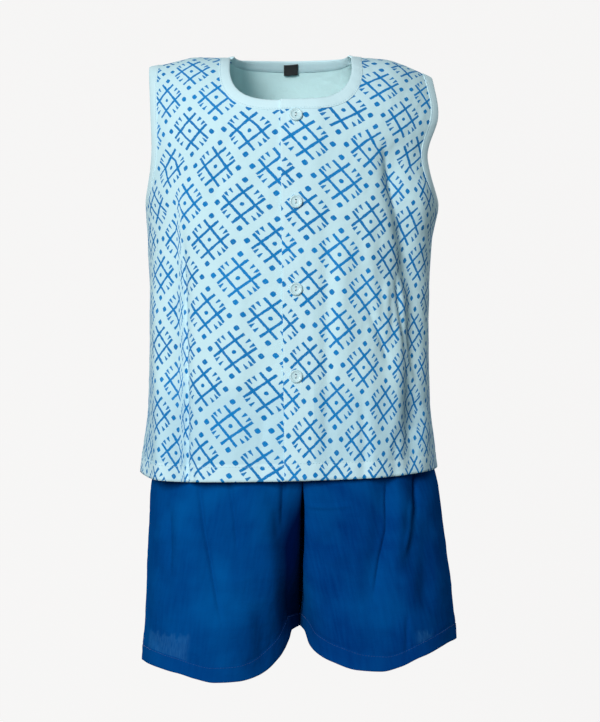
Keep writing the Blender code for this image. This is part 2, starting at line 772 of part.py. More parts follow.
def front_rows(side, edge_low_x, edge_top_x):
    """Rows of one front, whose free edge lies past the middle."""
    neck = neck_edge(1, BINDING_WIDTH + SEAM_GAP)
    reach = (edge_top_x, BEYOND_X) if side > 0 else (-BEYOND_X, edge_top_x)
    neck = inward(clipped_line(*neck, *reach), side)
    hem_z = float(hem_height(math.pi / 2))

    def edge_angle(z):
        share = (z - hem_z) / (-NECK_DROP_FRONT - BINDING_WIDTH - hem_z)
        return angle_across(edge_low_x + (edge_top_x - edge_low_x) * share, z, 1)

    return panel_rows(side, 1, edge_angle, neck, NECK_ROWS_FRONT)


def make_fronts():
    """The two fronts: the wearer's left one lies over the right one."""
    upper = front_rows(1, OVER_EDGE_LOW_X, OVER_EDGE_TOP_X)
    lower = front_rows(-1, UNDER_EDGE_X, UNDER_EDGE_X)
    cloth_object("top_front_left", upper, True, TOP_FOLDS, AQUA_COTTON, overlap_lift, keep_in_front)
    cloth_object("top_front_right", lower, False, TOP_FOLDS, AQUA_COTTON, keep=keep_in_front)


def make_back():
    """The back, made as two halves that are one cloth along the centre line."""
    sheets = []
    for side in (1, -1):
        neck = neck_edge(-1, BINDING_WIDTH + SEAM_GAP)
        reach = (NECK_X, BEYOND_X) if side > 0 else (-BEYOND_X, NECK_X)
        neck = inward(clipped_line(*neck, *reach), side)
        rows = panel_rows(side, -1, lambda z: angle_across(np.full(DENSE, NECK_X), z, -1), neck,
                          NECK_ROWS_BACK)
        sheets.append((rows, side < 0))
    points = np.concatenate([rows.reshape(-1, 3) for rows, _ in sheets])
    shape = sheets[0][0].shape
    faces = []
    for number, (rows, flip) in enumerate(sheets):
        shift = number * shape[0] * shape[1]
        faces += [tuple(i + shift for i in face) for face in grid_faces(shape[0] - 1, shape[1] - 1, flip)]
    inside = np.full(shape[:2], WALL / 2)
    inside[:2] += HEM_EXTRA
    inside = np.concatenate([inside.ravel(), inside.ravel()])
    merged, faces = welded(np.concatenate([points, inside[:, None]], axis=1), faces)
    finish_cloth("top_back", merged[:, :3], faces, merged[:, 3], TOP_FOLDS, AQUA_COTTON, keep=keep_behind)


def strip_object(name, near, far, closed, thick, finish, lift=None):
    """A binding: a wall between two lines of points with a raised middle line."""
    across = [near, near * 0.5 + far * 0.5, far]
    points = np.stack(across, axis=1)
    steps = points.shape[0]
    flat = points.reshape(-1, 3)
    faces = []
    last = steps if closed else steps - 1
    for step in range(last):
        after = (step + 1) % steps
        for lane in range(2):
            a, b = step * 3 + lane, after * 3 + lane
            faces.append((a, b, b + 1, a + 1))
    push = fold_push(flat, TOP_FOLDS)
    if lift is not None:
        push = push + lift
    flat = flat + sheet_normals(flat, faces) * push[:, None]
    half = np.tile([0.5 * thick * BINDING_EDGE_SHARE, 0.5 * thick, 0.5 * thick], steps)
    corners, walls = wall_mesh(flat, faces, half, half)
    return make_object(name, corners, walls, finish)


def neck_line(width):
    """The neck's line: the lower front's edge, right shoulder, back, left shoulder, upper front's edge."""
    front = neck_edge(1, width)
    back = neck_edge(-1, width)
    stretches = [clipped_line(*front, -BEYOND_X, UNDER_EDGE_X), clipped_line(*back, -BEYOND_X, NECK_X),
                 clipped_line(*back, NECK_X, BEYOND_X), clipped_line(*front, OVER_EDGE_TOP_X, BEYOND_X)]
    counts = (NECK_ROWS_FRONT, NECK_ROWS_BACK, NECK_ROWS_BACK, NECK_ROWS_FRONT)
    points = [top_place(*even_line(*stretch, count)) for stretch, count in zip(stretches, counts)]
    points[0], points[3] = points[0][::-1], points[3][::-1]
    return np.concatenate([points[0]] + [stretch[1:] for stretch in points[1:]])


def make_neck_binding():
    """The neck's bias binding, whose end lies over its start at the front closing."""
    near = neck_line(0.0)
    far = neck_line(BINDING_WIDTH)
    points = np.stack([near, near * 0.5 + far * 0.5, far], axis=1).reshape(-1, 3)
    number = np.repeat(np.arange(len(near)), 3)
    upper = (number > NECK_ROWS_FRONT + NECK_ROWS_BACK) & (points[:, 1] < 0.0)
    lift = np.where(upper, overlap_lift(points), 0.0)
    strip_object("neck_binding", near, far, False, BINDING_THICK, AQUA_BINDING, lift)


def arm_line(side, width):
    """An armhole's closed line: underarm, front, shoulder tip, back."""
    front = top_place(*even_line(*armhole_edge(side, 1, width), TOP_ARM_ROWS))
    back = top_place(*even_line(*armhole_edge(side, -1, width), TOP_ARM_ROWS))
    return np.concatenate([front, back[-2:0:-1]])


def make_armhole_bindings():
    """The two armholes' closed bias bindings."""
    for side, name in ((1, "armhole_binding_left"), (-1, "armhole_binding_right")):
        near = arm_line(side, 0.0)
        far = arm_line(side, BINDING_WIDTH)
        if side > 0:
            near, far = near[::-1], far[::-1]
        strip_object(name, near, far, True, BINDING_THICK, AQUA_BINDING)


def front_seat(x, z, height):
    """A place over the upper front's outer face, and the outward and upward directions there."""
    angle = angle_across(np.array([x]), np.array([z]), 1)
    fall = fall_at(angle, np.array([x]), np.array([z]))
    here = top_place(angle, fall)[0]
    upward = top_place(angle, fall - SEAT_PROBE)[0] - top_place(angle, fall + SEAT_PROBE)[0]
    across = top_place(angle - SEAT_PROBE, fall)[0] - top_place(angle + SEAT_PROBE, fall)[0]
    outward = np.cross(across, upward)
    outward /= np.linalg.norm(outward)
    upward /= np.linalg.norm(upward)
    return here + outward * height, outward, upward


def button_mesh():
    """A round two-hole button with a sunk middle, its face up, its back on z = 0."""
    shape = bmesh.new()
    rings = []
    for row in BUTTON_PROFILE:
        ring = []
        for number in range(BUTTON_SIDES):
            turn = 2.0 * math.pi * number / BUTTON_SIDES
            place = (row.radius * math.cos(turn), row.radius * math.sin(turn), row.height)
            ring.append(shape.verts.new(place))
        rings.append(ring)
    for lower, upper in zip(rings, rings[1:]):
        for number in range(BUTTON_SIDES):
            after = (number + 1) % BUTTON_SIDES
            shape.faces.new((lower[number], lower[after], upper[after], upper[number]))
    shape.faces.new(rings[-1])
    shape.faces.new(rings[0][::-1])
    mesh = bpy.data.meshes.new("button")
    shape.to_mesh(mesh)
    shape.free()
    return mesh


def button_hole_cutter():
    """Two upright pins that cut a button's holes."""
    shape = bmesh.new()
    for way in (-1.0, 1.0):
        pin = bmesh.ops.create_cone(shape, cap_ends=True, segments=BUTTON_HOLE_SIDES,
                                    radius1=BUTTON_HOLE_RADIUS, radius2=BUTTON_HOLE_RADIUS,
                                    depth=BUTTON_CUTTER_LENGTH)
        bmesh.ops.translate(shape, verts=pin["verts"], vec=(0.0, way * BUTTON_HOLE_OFFSET, 0.0))
    mesh = bpy.data.meshes.new("button_holes")
    shape.to_mesh(mesh)
    shape.free()
    cutter = bpy.data.objects.new("button_holes", mesh)
    bpy.context.scene.collection.objects.link(cutter)
    cutter.hide_render = True
    cutter.display_type = "WIRE"
    return cutter


def cut_button():
    """The button's mesh with its two holes cut."""
    cutter = button_hole_cutter()
    blank = bpy.data.objects.new("button_blank", button_mesh())
    bpy.context.scene.collection.objects.link(blank)
    cut = blank.modifiers.new("holes", "BOOLEAN")
    cut.operation = "DIFFERENCE"
    cut.solver = "EXACT"
    cut.object = cutter
    graph = bpy.context.evaluated_depsgraph_get()
    mesh = bpy.data.meshes.new_from_object(blank.evaluated_get(graph))
    bpy.data.objects.remove(blank, do_unlink=True)
    bpy.data.objects.remove(cutter, do_unlink=True)
    return mesh


def make_buttons():
    """The front's buttons, seated on the upper front's outer face."""
    cut = cut_button()
    local = np.array([tuple(corner.co) for corner in cut.vertices])
    faces = [tuple(polygon.vertices) for polygon in cut.polygons]
    seat = OVERLAP_LIFT + WALL / 2 + SEAM_GAP
    for number in range(BUTTON_COUNT):
        z = BUTTON_TOP_Z - number * BUTTON_PITCH
        place, outward, upward = front_seat(BUTTON_X, z, seat)
        across = np.cross(upward, outward)
        corners = place + local[:, :1] * across + local[:, 1:2] * upward + local[:, 2:] * outward
        make_object(f"button_{number + 1}", corners, faces, PEARL)


def make_label():
    """The bare label inside the back neck, lying on the binding and the back."""
    columns, rows = LABEL_COLUMNS, LABEL_ROWS
    x = np.linspace(LABEL_X - LABEL_WIDTH / 2, LABEL_X + LABEL_WIDTH / 2, columns + 1)
    z = np.linspace(LABEL_TOP_Z, LABEL_TOP_Z - LABEL_HEIGHT, rows + 1)
    across, height = np.meshgrid(x, z)
    angle = angle_across(across.ravel(), height.ravel(), -1)
    points = top_place(angle, fall_at(angle, across.ravel(), height.ravel()))
    faces = grid_faces(rows, columns, False)
    inward = BINDING_THICK / 2 + SEAM_GAP + LABEL_THICK / 2 + LABEL_EASE
    points = points - sheet_normals(points, faces) * inward
    half = np.full(len(points), LABEL_THICK / 2)
    corners, walls = wall_mesh(points, faces, half, half)
    make_object("label", corners, walls, BLACK_TAPE)


def leg_place(side, face, place, z):
    """Points of the shorts from the side seam (0) over the deepest place (1) to the inner seam (2)."""
    seam = smooth(HIP_SECTIONS, "left_seam" if side > 0 else "right_seam", z)
    apex = smooth(HIP_SECTIONS, "left_apex" if side > 0 else "right_apex", z)
    depth = smooth(HIP_SECTIONS, "front" if face > 0 else "back", z)
    apart = ease((LEGS_PART_Z - z) / (LEGS_PART_Z - LEGS_APART_Z))
    inner_x = smooth(LEG_SEAM, "x", z) + side * apart * WALL / 2
    inner_depth = smooth(LEG_SEAM, "front" if face > 0 else "back", z)
    first = np.clip(place, 0.0, 1.0) * math.pi / 2
    second = np.clip(place - 1.0, 0.0, 1.0) * math.pi / 2
    outer_x = apex + (seam - apex) * np.cos(first) * bulge(first, LEG_FULLNESS)
    outer_y = depth * np.sin(first) * bulge(first, LEG_FULLNESS)
    spread = side * LEG_SPREAD * ease((LEGS_APART_Z - z) / LEG_SPREAD_FALL)
    inner_line_x = apex + (inner_x - apex) * np.sin(second) * bulge(second, LEG_FULLNESS)
    inner_line_x = inner_line_x + spread * np.sin(2.0 * second)
    inner_line_y = inner_depth + (depth - inner_depth) * np.cos(second) * bulge(second, LEG_FULLNESS)
    x = np.where(place <= 1.0, outer_x, inner_line_x)
    y = np.where(place <= 1.0, outer_y, inner_line_y)
    return np.stack([x, -face * y, z], axis=-1)


def leg_rows(side, face):
    """Rows of one shorts panel, from the hem up to the waistband."""
    column = ("left" if side > 0 else "right") + ("_front" if face > 0 else "_back")
    place = np.linspace(0.0, 2.0, 2 * DENSE)
    hem = smooth(LEG_HEM, column, place)
    top = WAIST_LOW_Z - WAIST_GAP
    rows = []
    span = top - hem
    heights = [hem, hem + LEG_HEM_DEPTH]
    for number in range(LEG_ROWS):
        share = number / (LEG_ROWS - 1)
        heights.append(hem + LEG_HEM_DEPTH + HEM_STEP + (span - LEG_HEM_DEPTH - HEM_STEP) * share)
    for z in heights:
        line = leg_place(side, face, place, z)
        rows.append(resample(trimmed(line, SEAM_GAP / 2, SEAM_GAP / 2), LEG_COLUMNS))
    return np.array(rows)


def make_shorts_panels():
    """The four panels of the shorts."""
    for side, side_name in ((1, "left"), (-1, "right")):
        for face, face_name in ((1, "front"), (-1, "back")):
            rows = leg_rows(side, face)
            keep = keep_left if side > 0 else keep_right
            cloth_object(f"shorts_{face_name}_{side_name}", rows, side * face > 0, SHORTS_FOLDS,
                         BLUE_COTTON, keep=keep)


def make_waistband():
    """The elastic waist's casing, a closed band inside the top."""
    rows = []
    for z in (WAIST_LOW_Z, 0.5 * (WAIST_LOW_Z + WAIST_TOP_Z), WAIST_TOP_Z):
        place = np.linspace(0.0, 2.0, DENSE)
        heights = np.full(DENSE, z)
        quarters = [leg_place(1, 1, place, heights), leg_place(-1, 1, place, heights)[::-1],
                    leg_place(-1, -1, place, heights), leg_place(1, -1, place, heights)[::-1]]
        ring = np.concatenate([quarter[:-1] for quarter in quarters] + [quarters[0][:1]])
        rows.append(resample(ring, WAIST_STEPS)[:-1])
    points = np.concatenate(rows)
    faces = []
    for row in range(2):
        for step in range(WAIST_STEPS):
            after = (step + 1) % WAIST_STEPS
            a, b = row * WAIST_STEPS, (row + 1) * WAIST_STEPS
            faces.append((a + after, a + step, b + step, b + after))
    half = np.full(len(points), WAISTBAND_THICK / 2)
    corners, walls = wall_mesh(points, faces, half, half)
    make_object("shorts_waistband", corners, walls, BLUE_COTTON)


def main():
    """Build the whole set."""
    clear_scene()
    make_fronts()
    make_back()
    make_neck_binding()
    make_armhole_bindings()
    make_buttons()
    make_label()
    make_shorts_panels()
    make_waistband()


main()
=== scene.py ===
"""Looks of a child's summer set: a block-printed sleeveless top over sheer blue shorts.

Metres, +Z up. The front faces -Y and +X is the wearer's left. The origin is the middle of
the shoulder line. Each cloth piece is a thin shell on its solid's form, with its creases
placed one by one, and its cloth map holds the flat place on the cut cloth in metres.
"""

import logging
import math
from dataclasses import dataclass, field, replace
from enum import Enum
from typing import Any, Callable, NamedTuple

import bmesh
import bpy
import numpy as np
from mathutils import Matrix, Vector


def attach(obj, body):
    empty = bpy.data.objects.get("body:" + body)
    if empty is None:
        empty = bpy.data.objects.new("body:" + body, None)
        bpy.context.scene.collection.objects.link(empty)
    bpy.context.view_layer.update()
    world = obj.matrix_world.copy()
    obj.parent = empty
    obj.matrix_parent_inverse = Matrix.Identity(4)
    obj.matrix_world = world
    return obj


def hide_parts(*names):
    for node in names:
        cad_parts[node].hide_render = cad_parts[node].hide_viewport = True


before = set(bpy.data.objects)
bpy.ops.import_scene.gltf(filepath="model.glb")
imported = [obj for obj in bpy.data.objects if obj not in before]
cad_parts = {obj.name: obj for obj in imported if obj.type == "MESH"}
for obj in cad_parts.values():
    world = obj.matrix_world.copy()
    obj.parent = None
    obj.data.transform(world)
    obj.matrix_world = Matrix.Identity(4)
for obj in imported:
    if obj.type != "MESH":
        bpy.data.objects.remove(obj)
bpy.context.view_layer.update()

LOG = logging.getLogger("summer_set")
Array = np.ndarray
Line = tuple[Array, Array]
Material = bpy.types.Material
Object = bpy.types.Object
Node = bpy.types.Node
Socket = bpy.types.NodeSocket
Pair = tuple[float, float]
Tone = tuple[float, float, float]
MM = 0.001
TENTHS = 10000.0
CREASE_END = 0.28
PLEAT_START = 0.045
QUARTER = math.pi / 2


class Side(Enum):
    """A side of the wearer; the value is its sign along X."""

    LEFT = 1
    RIGHT = -1


class Face(Enum):
    """The front or the back of the set; the value is its sign against Y."""

    FRONT = 1
    BACK = -1


class TopSection(NamedTuple):
    """A level section of the top: its side seams' places and the depths of front and back."""

    z: float
    right_seam: float
    left_seam: float
    front: float
    back: float


class ShoulderPoint(NamedTuple):
    """Height of the shoulder line at a place across it; past the neck points it is only a guide."""

    x: float
    front: float
    back: float


class HemPoint(NamedTuple):
    """Height of the top's hem at an angle round the body, in degrees from the left side seam."""

    angle: float
    z: float


class HipSection(NamedTuple):
    """A level section of the shorts: side seams, each leg's deepest place, and the depths there."""

    z: float
    right_seam: float
    left_seam: float
    right_apex: float
    left_apex: float
    front: float
    back: float


class SeamPoint(NamedTuple):
    """The seam between the legs: its place across, and its depth in front and behind."""

    z: float
    x: float
    front: float
    back: float


class LegHemPoint(NamedTuple):
    """Height of a leg's hem from its side seam (0) over its deepest place (1) to the inseam (2)."""

    place: float
    right_front: float
    right_back: float
    left_front: float
    left_back: float


class Crease(NamedTuple):
    """A soft valley (depth below 0) or ridge along a path of (x, z) places on one face.

    rise is how much the cloth beside the crease swings the other way.
    """

    face: Face
    path: tuple[Pair, ...]
    half_width: float
    depth: float
    rise: float = 0.0


class Pleat(NamedTuple):
    """Cloth that a fold hides: its line from the top down, and the width that it swallows."""

    side: Side
    line: tuple[Pair, ...]
    hidden: float
    spread: float

    def swallowed(self, points: Array) -> Array:
        """Width of cloth hidden between the middle of the front and each point."""
        places, heights = zip(*self.line[::-1])
        x = np.interp(points[:, 2], heights, places)
        beyond = ease(self.side.value * (points[:, 0] - x) / self.spread + 0.5)
        return self.hidden * beyond * ease((self.line[0][1] - points[:, 2]) / PLEAT_START)


def table(kind: Callable[..., Any], as_is: int, *rows: tuple[float, ...]) -> tuple[Any, ...]:
    """Named rows from numbers in tenths of a millimetre.

    Args:
        kind: The rows' type.
        as_is: How many leading columns aren't lengths and stay as they are.
        rows: The numbers.

    Returns:
        The rows, with their lengths in metres.
    """
    return tuple(kind(*row[:as_is], *(value / TENTHS for value in row[as_is:])) for row in rows)


def pressed(face: Face, *rows: tuple) -> tuple[Crease, ...]:
    """A face's creases from rows in tenths of a millimetre.

    Args:
        face: The front or the back.
        rows: A path as x, z, x, z and so on, a half width, a depth, and a rise or none.

    Returns:
        The creases, in metres.
    """
    made = []
    for path, half_width, depth, *rise in rows:
        metres = [value / TENTHS for value in path]
        places = tuple(zip(metres[::2], metres[1::2]))
        made.append(Crease(face, places, half_width / TENTHS, depth / TENTHS, *rise))
    return tuple(made)


def read_curve(rows: tuple, column: str, place: Array | float) -> Array:
    """Read a table's column from a smooth curve that never swings past its rows.

    Args:
        rows: Named rows whose first column is the place.
        column: The column to read.
        place: Where to read it.

    Returns:
        The column's values at the places.
    """
    ordered = sorted(rows, key=lambda row: row[0])
    knots = np.array([row[0] for row in ordered])
    values = np.array([getattr(row, column) for row in ordered])
    steps = np.diff(knots)
    rates = np.diff(values) / steps
    slopes = np.zeros(len(knots))
    slopes[0], slopes[-1] = rates[0], rates[-1]
    product = rates[:-1] * rates[1:]
    total = np.where(rates[:-1] + rates[1:] == 0.0, 1.0, rates[:-1] + rates[1:])
    slopes[1:-1] = np.where(product > 0.0, 2.0 * product / total, 0.0)
    at = np.clip(np.asarray(place, dtype=float), knots[0], knots[-1])
    index = np.clip(np.searchsorted(knots, at) - 1, 0, len(steps) - 1)
    step = steps[index]
    t = (at - knots[index]) / step
    return ((2 * t**3 - 3 * t**2 + 1) * values[index] + (t**3 - 2 * t**2 + t) * step * slopes[index]
            + (3 * t**2 - 2 * t**3) * values[index + 1] + (t**3 - t**2) * step * slopes[index + 1])


def ease(t: Array | float) -> Array:
    """A soft step from 0 to 1 for t from 0 to 1."""
    t = np.clip(t, 0.0, 1.0)
    return t * t * (3.0 - 2.0 * t)


def run_lengths(points: Array) -> Array:
    """Distances along a polyline from its first point to each point."""
    return np.concatenate([[0.0], np.cumsum(np.linalg.norm(np.diff(points, axis=0), axis=1))])


def read_along(marks: Array, lengths: Array, values: Array) -> Array:
    """Values at marks along a line, column by column where each place has several."""
    if values.ndim == 1:
        return np.interp(marks, lengths, values)
    return np.stack([np.interp(marks, lengths, column) for column in values.T], axis=-1)


def evened(line: Array, count: int, *others: Array) -> tuple[Array, ...]:
    """A line at count + 1 even places.

    Args:
        line: Points along it.
        count: How many equal lengths it is cut into.
        others: Other values at its points.

    Returns:
        How far along each place lies, then the line and the other values there.
    """
    lengths = run_lengths(line)
    marks = np.linspace(0.0, lengths[-1], count + 1)
    return marks, *(read_along(marks, lengths, values) for values in (line, *others))


def quads(rows: int, columns: int, ring_rows: bool = False, ring_columns: bool = False) -> Array:
    """Four-cornered faces of a grid of points that is numbered row by row.

    Args:
        rows: How many rows.
        columns: How many columns.
        ring_rows: Whether the last row joins the first.
        ring_columns: Whether the last column joins the first.

    Returns:
        Point numbers, four for each face.
    """
    row = np.arange(rows if ring_rows else rows - 1)[:, None]
    column = np.arange(columns if ring_columns else columns - 1)[None, :]
    here, after = row * columns, (row + 1) % rows * columns
    beside = (column + 1) % columns
    corners = (here + column, here + beside, after + beside, after + column)
    return np.stack(corners, axis=-1).reshape(-1, 4)


def between(first: Array, second: Array, share: Array | float) -> Array:
    """Values that lie a share of the way from the first to the second."""
    return first * (1.0 - share) + second * share


def unit(vectors: Array) -> Array:
    """Directions of vectors in the last axis."""
    return vectors / np.linalg.norm(vectors, axis=-1, keepdims=True)


def bulge(angle: Array, fullness: Array | float) -> Array:
    """How far a section stands outside its ellipse at an angle."""
    return 1.0 + fullness * np.sin(2.0 * angle) ** 2


def soft_noise(places: Array, wave: float, seed: int, waves: int = 9) -> Array:
    """A smooth unevenness from -1 to 1, made of a few crossing waves.

    Args:
        places: Flat places, one row each.
        wave: The middle wavelength.
        seed: Picks the waves' directions and phases.
        waves: How many waves are summed.

    Returns:
        One value for each place.
    """
    pick = np.random.RandomState(seed)
    total = np.zeros(len(places))
    for _ in range(waves):
        turn = pick.uniform(0.0, math.tau)
        pitch = wave * pick.uniform(0.6, 1.7)
        phase = pick.uniform(0.0, math.tau)
        along = places[:, 0] * math.cos(turn) + places[:, 1] * math.sin(turn)
        total += np.sin(along * math.tau / pitch + phase)
    return total / math.sqrt(waves) / 1.6


@dataclass(frozen=True)
class TopForm:
    """The top's middle surface, read from level sections, a shoulder line and a hem line.

    A place on it is an angle round the body (0 at the left side seam, a quarter turn at the
    front's middle, below 0 behind) and a fall from the shoulder line. A fall of a quarter
    turn is the bottom of the shoulders' roll; past it the cloth hangs.
    """

    sections: tuple[TopSection, ...] = table(
        TopSection, 0,
        (-3800, -1400, 1285, 825, 805), (-3640, -1377, 1270, 815, 795),
        (-3420, -1345, 1245, 802, 775), (-3060, -1305, 1205, 782, 740),
        (-2500, -1290, 1195, 762, 700), (-2070, -1292, 1200, 758, 690),
        (-1650, -1312, 1222, 752, 705), (-1300, -1328, 1280, 745, 720),
        (-950, -1330, 1272, 735, 725), (-550, -1345, 1378, 720, 715),
        (-100, -1345, 1290, 700, 700), (300, -1345, 1270, 700, 700),
    )
    shoulders: tuple[ShoulderPoint, ...] = table(
        ShoulderPoint, 0,
        (-1400, -85, -85), (-1180, -50, -50), (-850, 12, 12), (-580, 2, 2), (-480, 20, 120),
        (-300, 45, 215), (-30, 60, 265), (240, 50, 220), (410, 30, 130), (510, 15, 15),
        (800, -5, -5), (1030, -80, -80), (1220, -165, -165), (1400, -240, -240),
    )
    hem: tuple[HemPoint, ...] = table(
        HemPoint, 1,
        (0.0, -3650), (30.0, -3675), (62.0, -3715), (100.0, -3735), (134.0, -3745),
        (160.0, -3690), (180.0, -3635), (215.0, -3680), (270.0, -3720), (325.0, -3690),
        (360.0, -3650),
    )
    roll: float = 0.092
    fullness_left: float = 0.055
    fullness_right: float = 0.095
    neck_x: float = -0.0036
    neck_half_width: float = 0.0540
    neck_drop_front: float = 0.0460
    neck_squareness: float = 3.3
    neck_back_z: float = 0.0065
    neck_back_squareness: float = 2.6
    arm_low_z: float = -0.1300
    arm_front: float = 0.0340
    arm_back: float = 0.0330
    arm_egg: float = 0.36
    arm_start_tilt: float = 0.35
    arm_tilt_limit: float = 0.80
    dense: int = 160
    rounds: int = 12
    arm_rounds: int = 30
    roll_marks: int = 16
    inset_steps: int = 5
    probe: float = 1e-4

    def fullness(self, angle: Array) -> Array:
        """Squareness of the section, which is a little boxier on the wearer's right."""
        share = ease(0.5 - 0.5 * np.cos(angle))
        return self.fullness_right * share + self.fullness_left * (1.0 - share)

    def seams(self, z: Array | float) -> Line:
        """The middle between the side seams and half the way between them, at a height."""
        right = read_curve(self.sections, "right_seam", z)
        left = read_curve(self.sections, "left_seam", z)
        return 0.5 * (left + right), 0.5 * (left - right)

    def width(self, angle: Array | float, z: Array | float) -> Array:
        """Place across of the cloth at an angle and a height."""
        middle, half = self.seams(z)
        return middle + half * (np.cos(angle) * bulge(angle, self.fullness(angle)))

    def depth(self, angle: Array, z: Array) -> Array:
        """Place along Y of the cloth at an angle and a height, below the shoulders' roll."""
        front = read_curve(self.sections, "front", z)
        back = read_curve(self.sections, "back", z)
        reach = np.sin(angle) * bulge(angle, self.fullness(angle))
        return -np.where(reach > 0.0, front, back) * reach

    def shoulder_height(self, angle: Array | float, x: Array) -> Array:
        """Height of the shoulder line over a place across, on the face that the angle is on."""
        front = read_curve(self.shoulders, "front", x)
        back = read_curve(self.shoulders, "back", x)
        return np.where(np.sin(angle) >= 0.0, front, back)

    def place(self, angle: Array | float, fall: Array | float) -> Array:
        """Points of the cloth.

        Args:
            angle: Angles round the body.
            fall: Falls from the shoulder line.

        Returns:
            Points in metres, in the last axis.
        """
        angle, fall = np.broadcast_arrays(angle, fall)
        turn = np.minimum(fall, QUARTER)
        drop = self.roll * (1.0 - np.cos(turn)) + self.roll * (fall - turn)
        z = -drop
        for _ in range(4):
            x = self.width(angle, z)
            z = self.shoulder_height(angle, x) - drop
        return np.stack([x, self.depth(angle, z) * np.sin(turn), z], axis=-1)

    def fall_of_drop(self, drop: Array) -> Array:
        """The fall that lies a height below the shoulder line."""
        share = np.maximum(drop, 0.0) / self.roll
        return np.where(share < 1.0, np.arccos(1.0 - np.minimum(share, 1.0)), QUARTER + share - 1.0)

    def fall_at(self, angle: Array, x: Array, z: Array) -> Array:
        """The fall from the shoulder line of a place on the cloth."""
        return self.fall_of_drop(self.shoulder_height(angle, x) - z)

    def angle_across(self, x: Array, z: Array, face: Face) -> Array:
        """The angle round the body of a place seen from the front, on one face."""
        middle, half = self.seams(z)
        reach = np.clip((x - middle) / half, -1.0, 1.0)
        angle = np.arccos(reach)
        for _ in range(self.rounds):
            angle = np.arccos(np.clip(reach / bulge(angle, self.fullness(angle)), -1.0, 1.0))
        return face.value * angle

    def hang(self, angle: Array | float, z: Array) -> Array:
        """Fall from the shoulder line at an angle and a height."""
        return self.fall_at(angle, self.width(angle, z), z)

    def hem_height(self, angle: Array | float) -> Array:
        """Height of the hem at an angle."""
        return read_curve(self.hem, "z", np.degrees(angle) % 360.0)

    def flat_height(self, angle: Array, fall: Array) -> Array:
        """Height on the flat cloth: the real one where it hangs, and along the roll above that."""
        turn = np.minimum(fall, QUARTER)
        share = np.linspace(0.0, 1.0, self.roll_marks)
        marks = turn[..., None] + (QUARTER - turn)[..., None] * share
        run = self.place(angle[..., None], marks)
        arc = np.linalg.norm(np.diff(run, axis=-2), axis=-1).sum(axis=-1)
        return np.where(fall < QUARTER, run[..., -1, 2] + arc, self.place(angle, fall)[..., 2])

    def inset(self, angle: Array, fall: Array, width: float, way: int) -> Line:
        """Move a line sideways within the cloth.

        Args:
            angle: The line's angles.
            fall: The line's falls.
            width: How far it moves.
            way: 1 for one side of the line and -1 for the other.

        Returns:
            The moved line.
        """
        here = self.place(angle, fall)
        by_angle = (self.place(angle + self.probe, fall) - here) / self.probe
        by_fall = (self.place(angle, fall + self.probe) - here) / self.probe
        normal = unit(np.cross(by_angle, by_fall))
        across = np.cross(normal, unit(np.gradient(here, axis=0))) * way * width
        move = np.linalg.pinv(np.stack([by_angle, by_fall], axis=2)) @ across[:, :, None]
        return angle + move[:, 0, 0], np.maximum(fall + move[:, 1, 0], 0.0)

    def armhole(self, side: Side, face: Face, width: float) -> Line:
        """A line of an armhole from the underarm to the shoulder tip.

        Args:
            side: The wearer's side.
            face: The front or the back half.
            width: How far into the cloth the line lies from the open edge.

        Returns:
            The line's angles and falls.
        """
        clock = np.linspace(0.0, math.pi, self.dense)
        base = 0.0 if side is Side.LEFT else math.pi
        under_x = float(self.width(base, self.arm_low_z))
        height = float(self.shoulder_height(base, under_x)) - self.arm_low_z
        fall = self.fall_of_drop(height * 0.5 * (1.0 + np.cos(clock)))
        reach = self.arm_front if face is Face.FRONT else self.arm_back
        depth = reach * np.sin(clock) * (1.0 + self.arm_egg * np.cos(clock))
        roll = np.maximum(np.sin(np.minimum(fall, QUARTER)), 1e-6)
        way = side.value * face.value
        angle = np.full(self.dense, base + way * self.arm_start_tilt)
        column = "front" if face is Face.FRONT else "back"
        for _ in range(self.arm_rounds):
            z = self.place(angle, fall)[:, 2]
            full = read_curve(self.sections, column, z) * bulge(angle, self.fullness(angle))
            angle = base + way * np.arcsin(np.clip(depth / (full * roll), 0.0, self.arm_tilt_limit))
        angle[-1] = 2.0 * angle[-2] - angle[-3]
        for _ in range(self.inset_steps if width > 0.0 else 0):
            angle, fall = self.inset(angle, fall, width / self.inset_steps, way)
            angle[0] = base
            fall[-1] = 0.0
        return angle, fall

    def neck(self, face: Face, width: float) -> Line:
        """A line of the neck from the wearer's right neck point to the left one.

        Args:
            face: The front or the back half.
            width: How far into the cloth the line lies from the open edge.

        Returns:
            The line's angles and falls.
        """
        clock = np.linspace(0.0, math.pi, 2 * self.dense)
        front = face is Face.FRONT
        power = 2.0 / (self.neck_squareness if front else self.neck_back_squareness)
        swing = -np.cos(clock)
        x = self.neck_x + (self.neck_half_width + width) * np.sign(swing) * np.abs(swing) ** power
        sink = np.sin(clock) ** power
        start = read_curve(self.shoulders, "front", self.neck_x - self.neck_half_width - width)
        end = read_curve(self.shoulders, "front", self.neck_x + self.neck_half_width + width)
        line = start + (end - start) * 0.5 * (1.0 - np.cos(clock))
        low = -(self.neck_drop_front + width) if front else self.neck_back_z - width
        z = line + (low - 0.5 * (start + end)) * sink
        angle = self.angle_across(x, z, face)
        fall = self.fall_at(angle, x, z)
        fall[0] = fall[-1] = 0.0
        return angle, fall

    def clipped(self, line: Line, from_x: float, to_x: float) -> Line:
        """The stretch of a line between two places across, ends included."""
        places = self.place(*line)[:, 0]
        marks = np.linspace(max(from_x, places[0]), min(to_x, places[-1]), self.dense)
        return np.interp(marks, places, line[0]), np.interp(marks, places, line[1])

    def even(self, line: Line, count: int) -> Line:
        """A line at count + 1 places that are even along the cloth."""
        return evened(self.place(*line), count, *line)[2:]

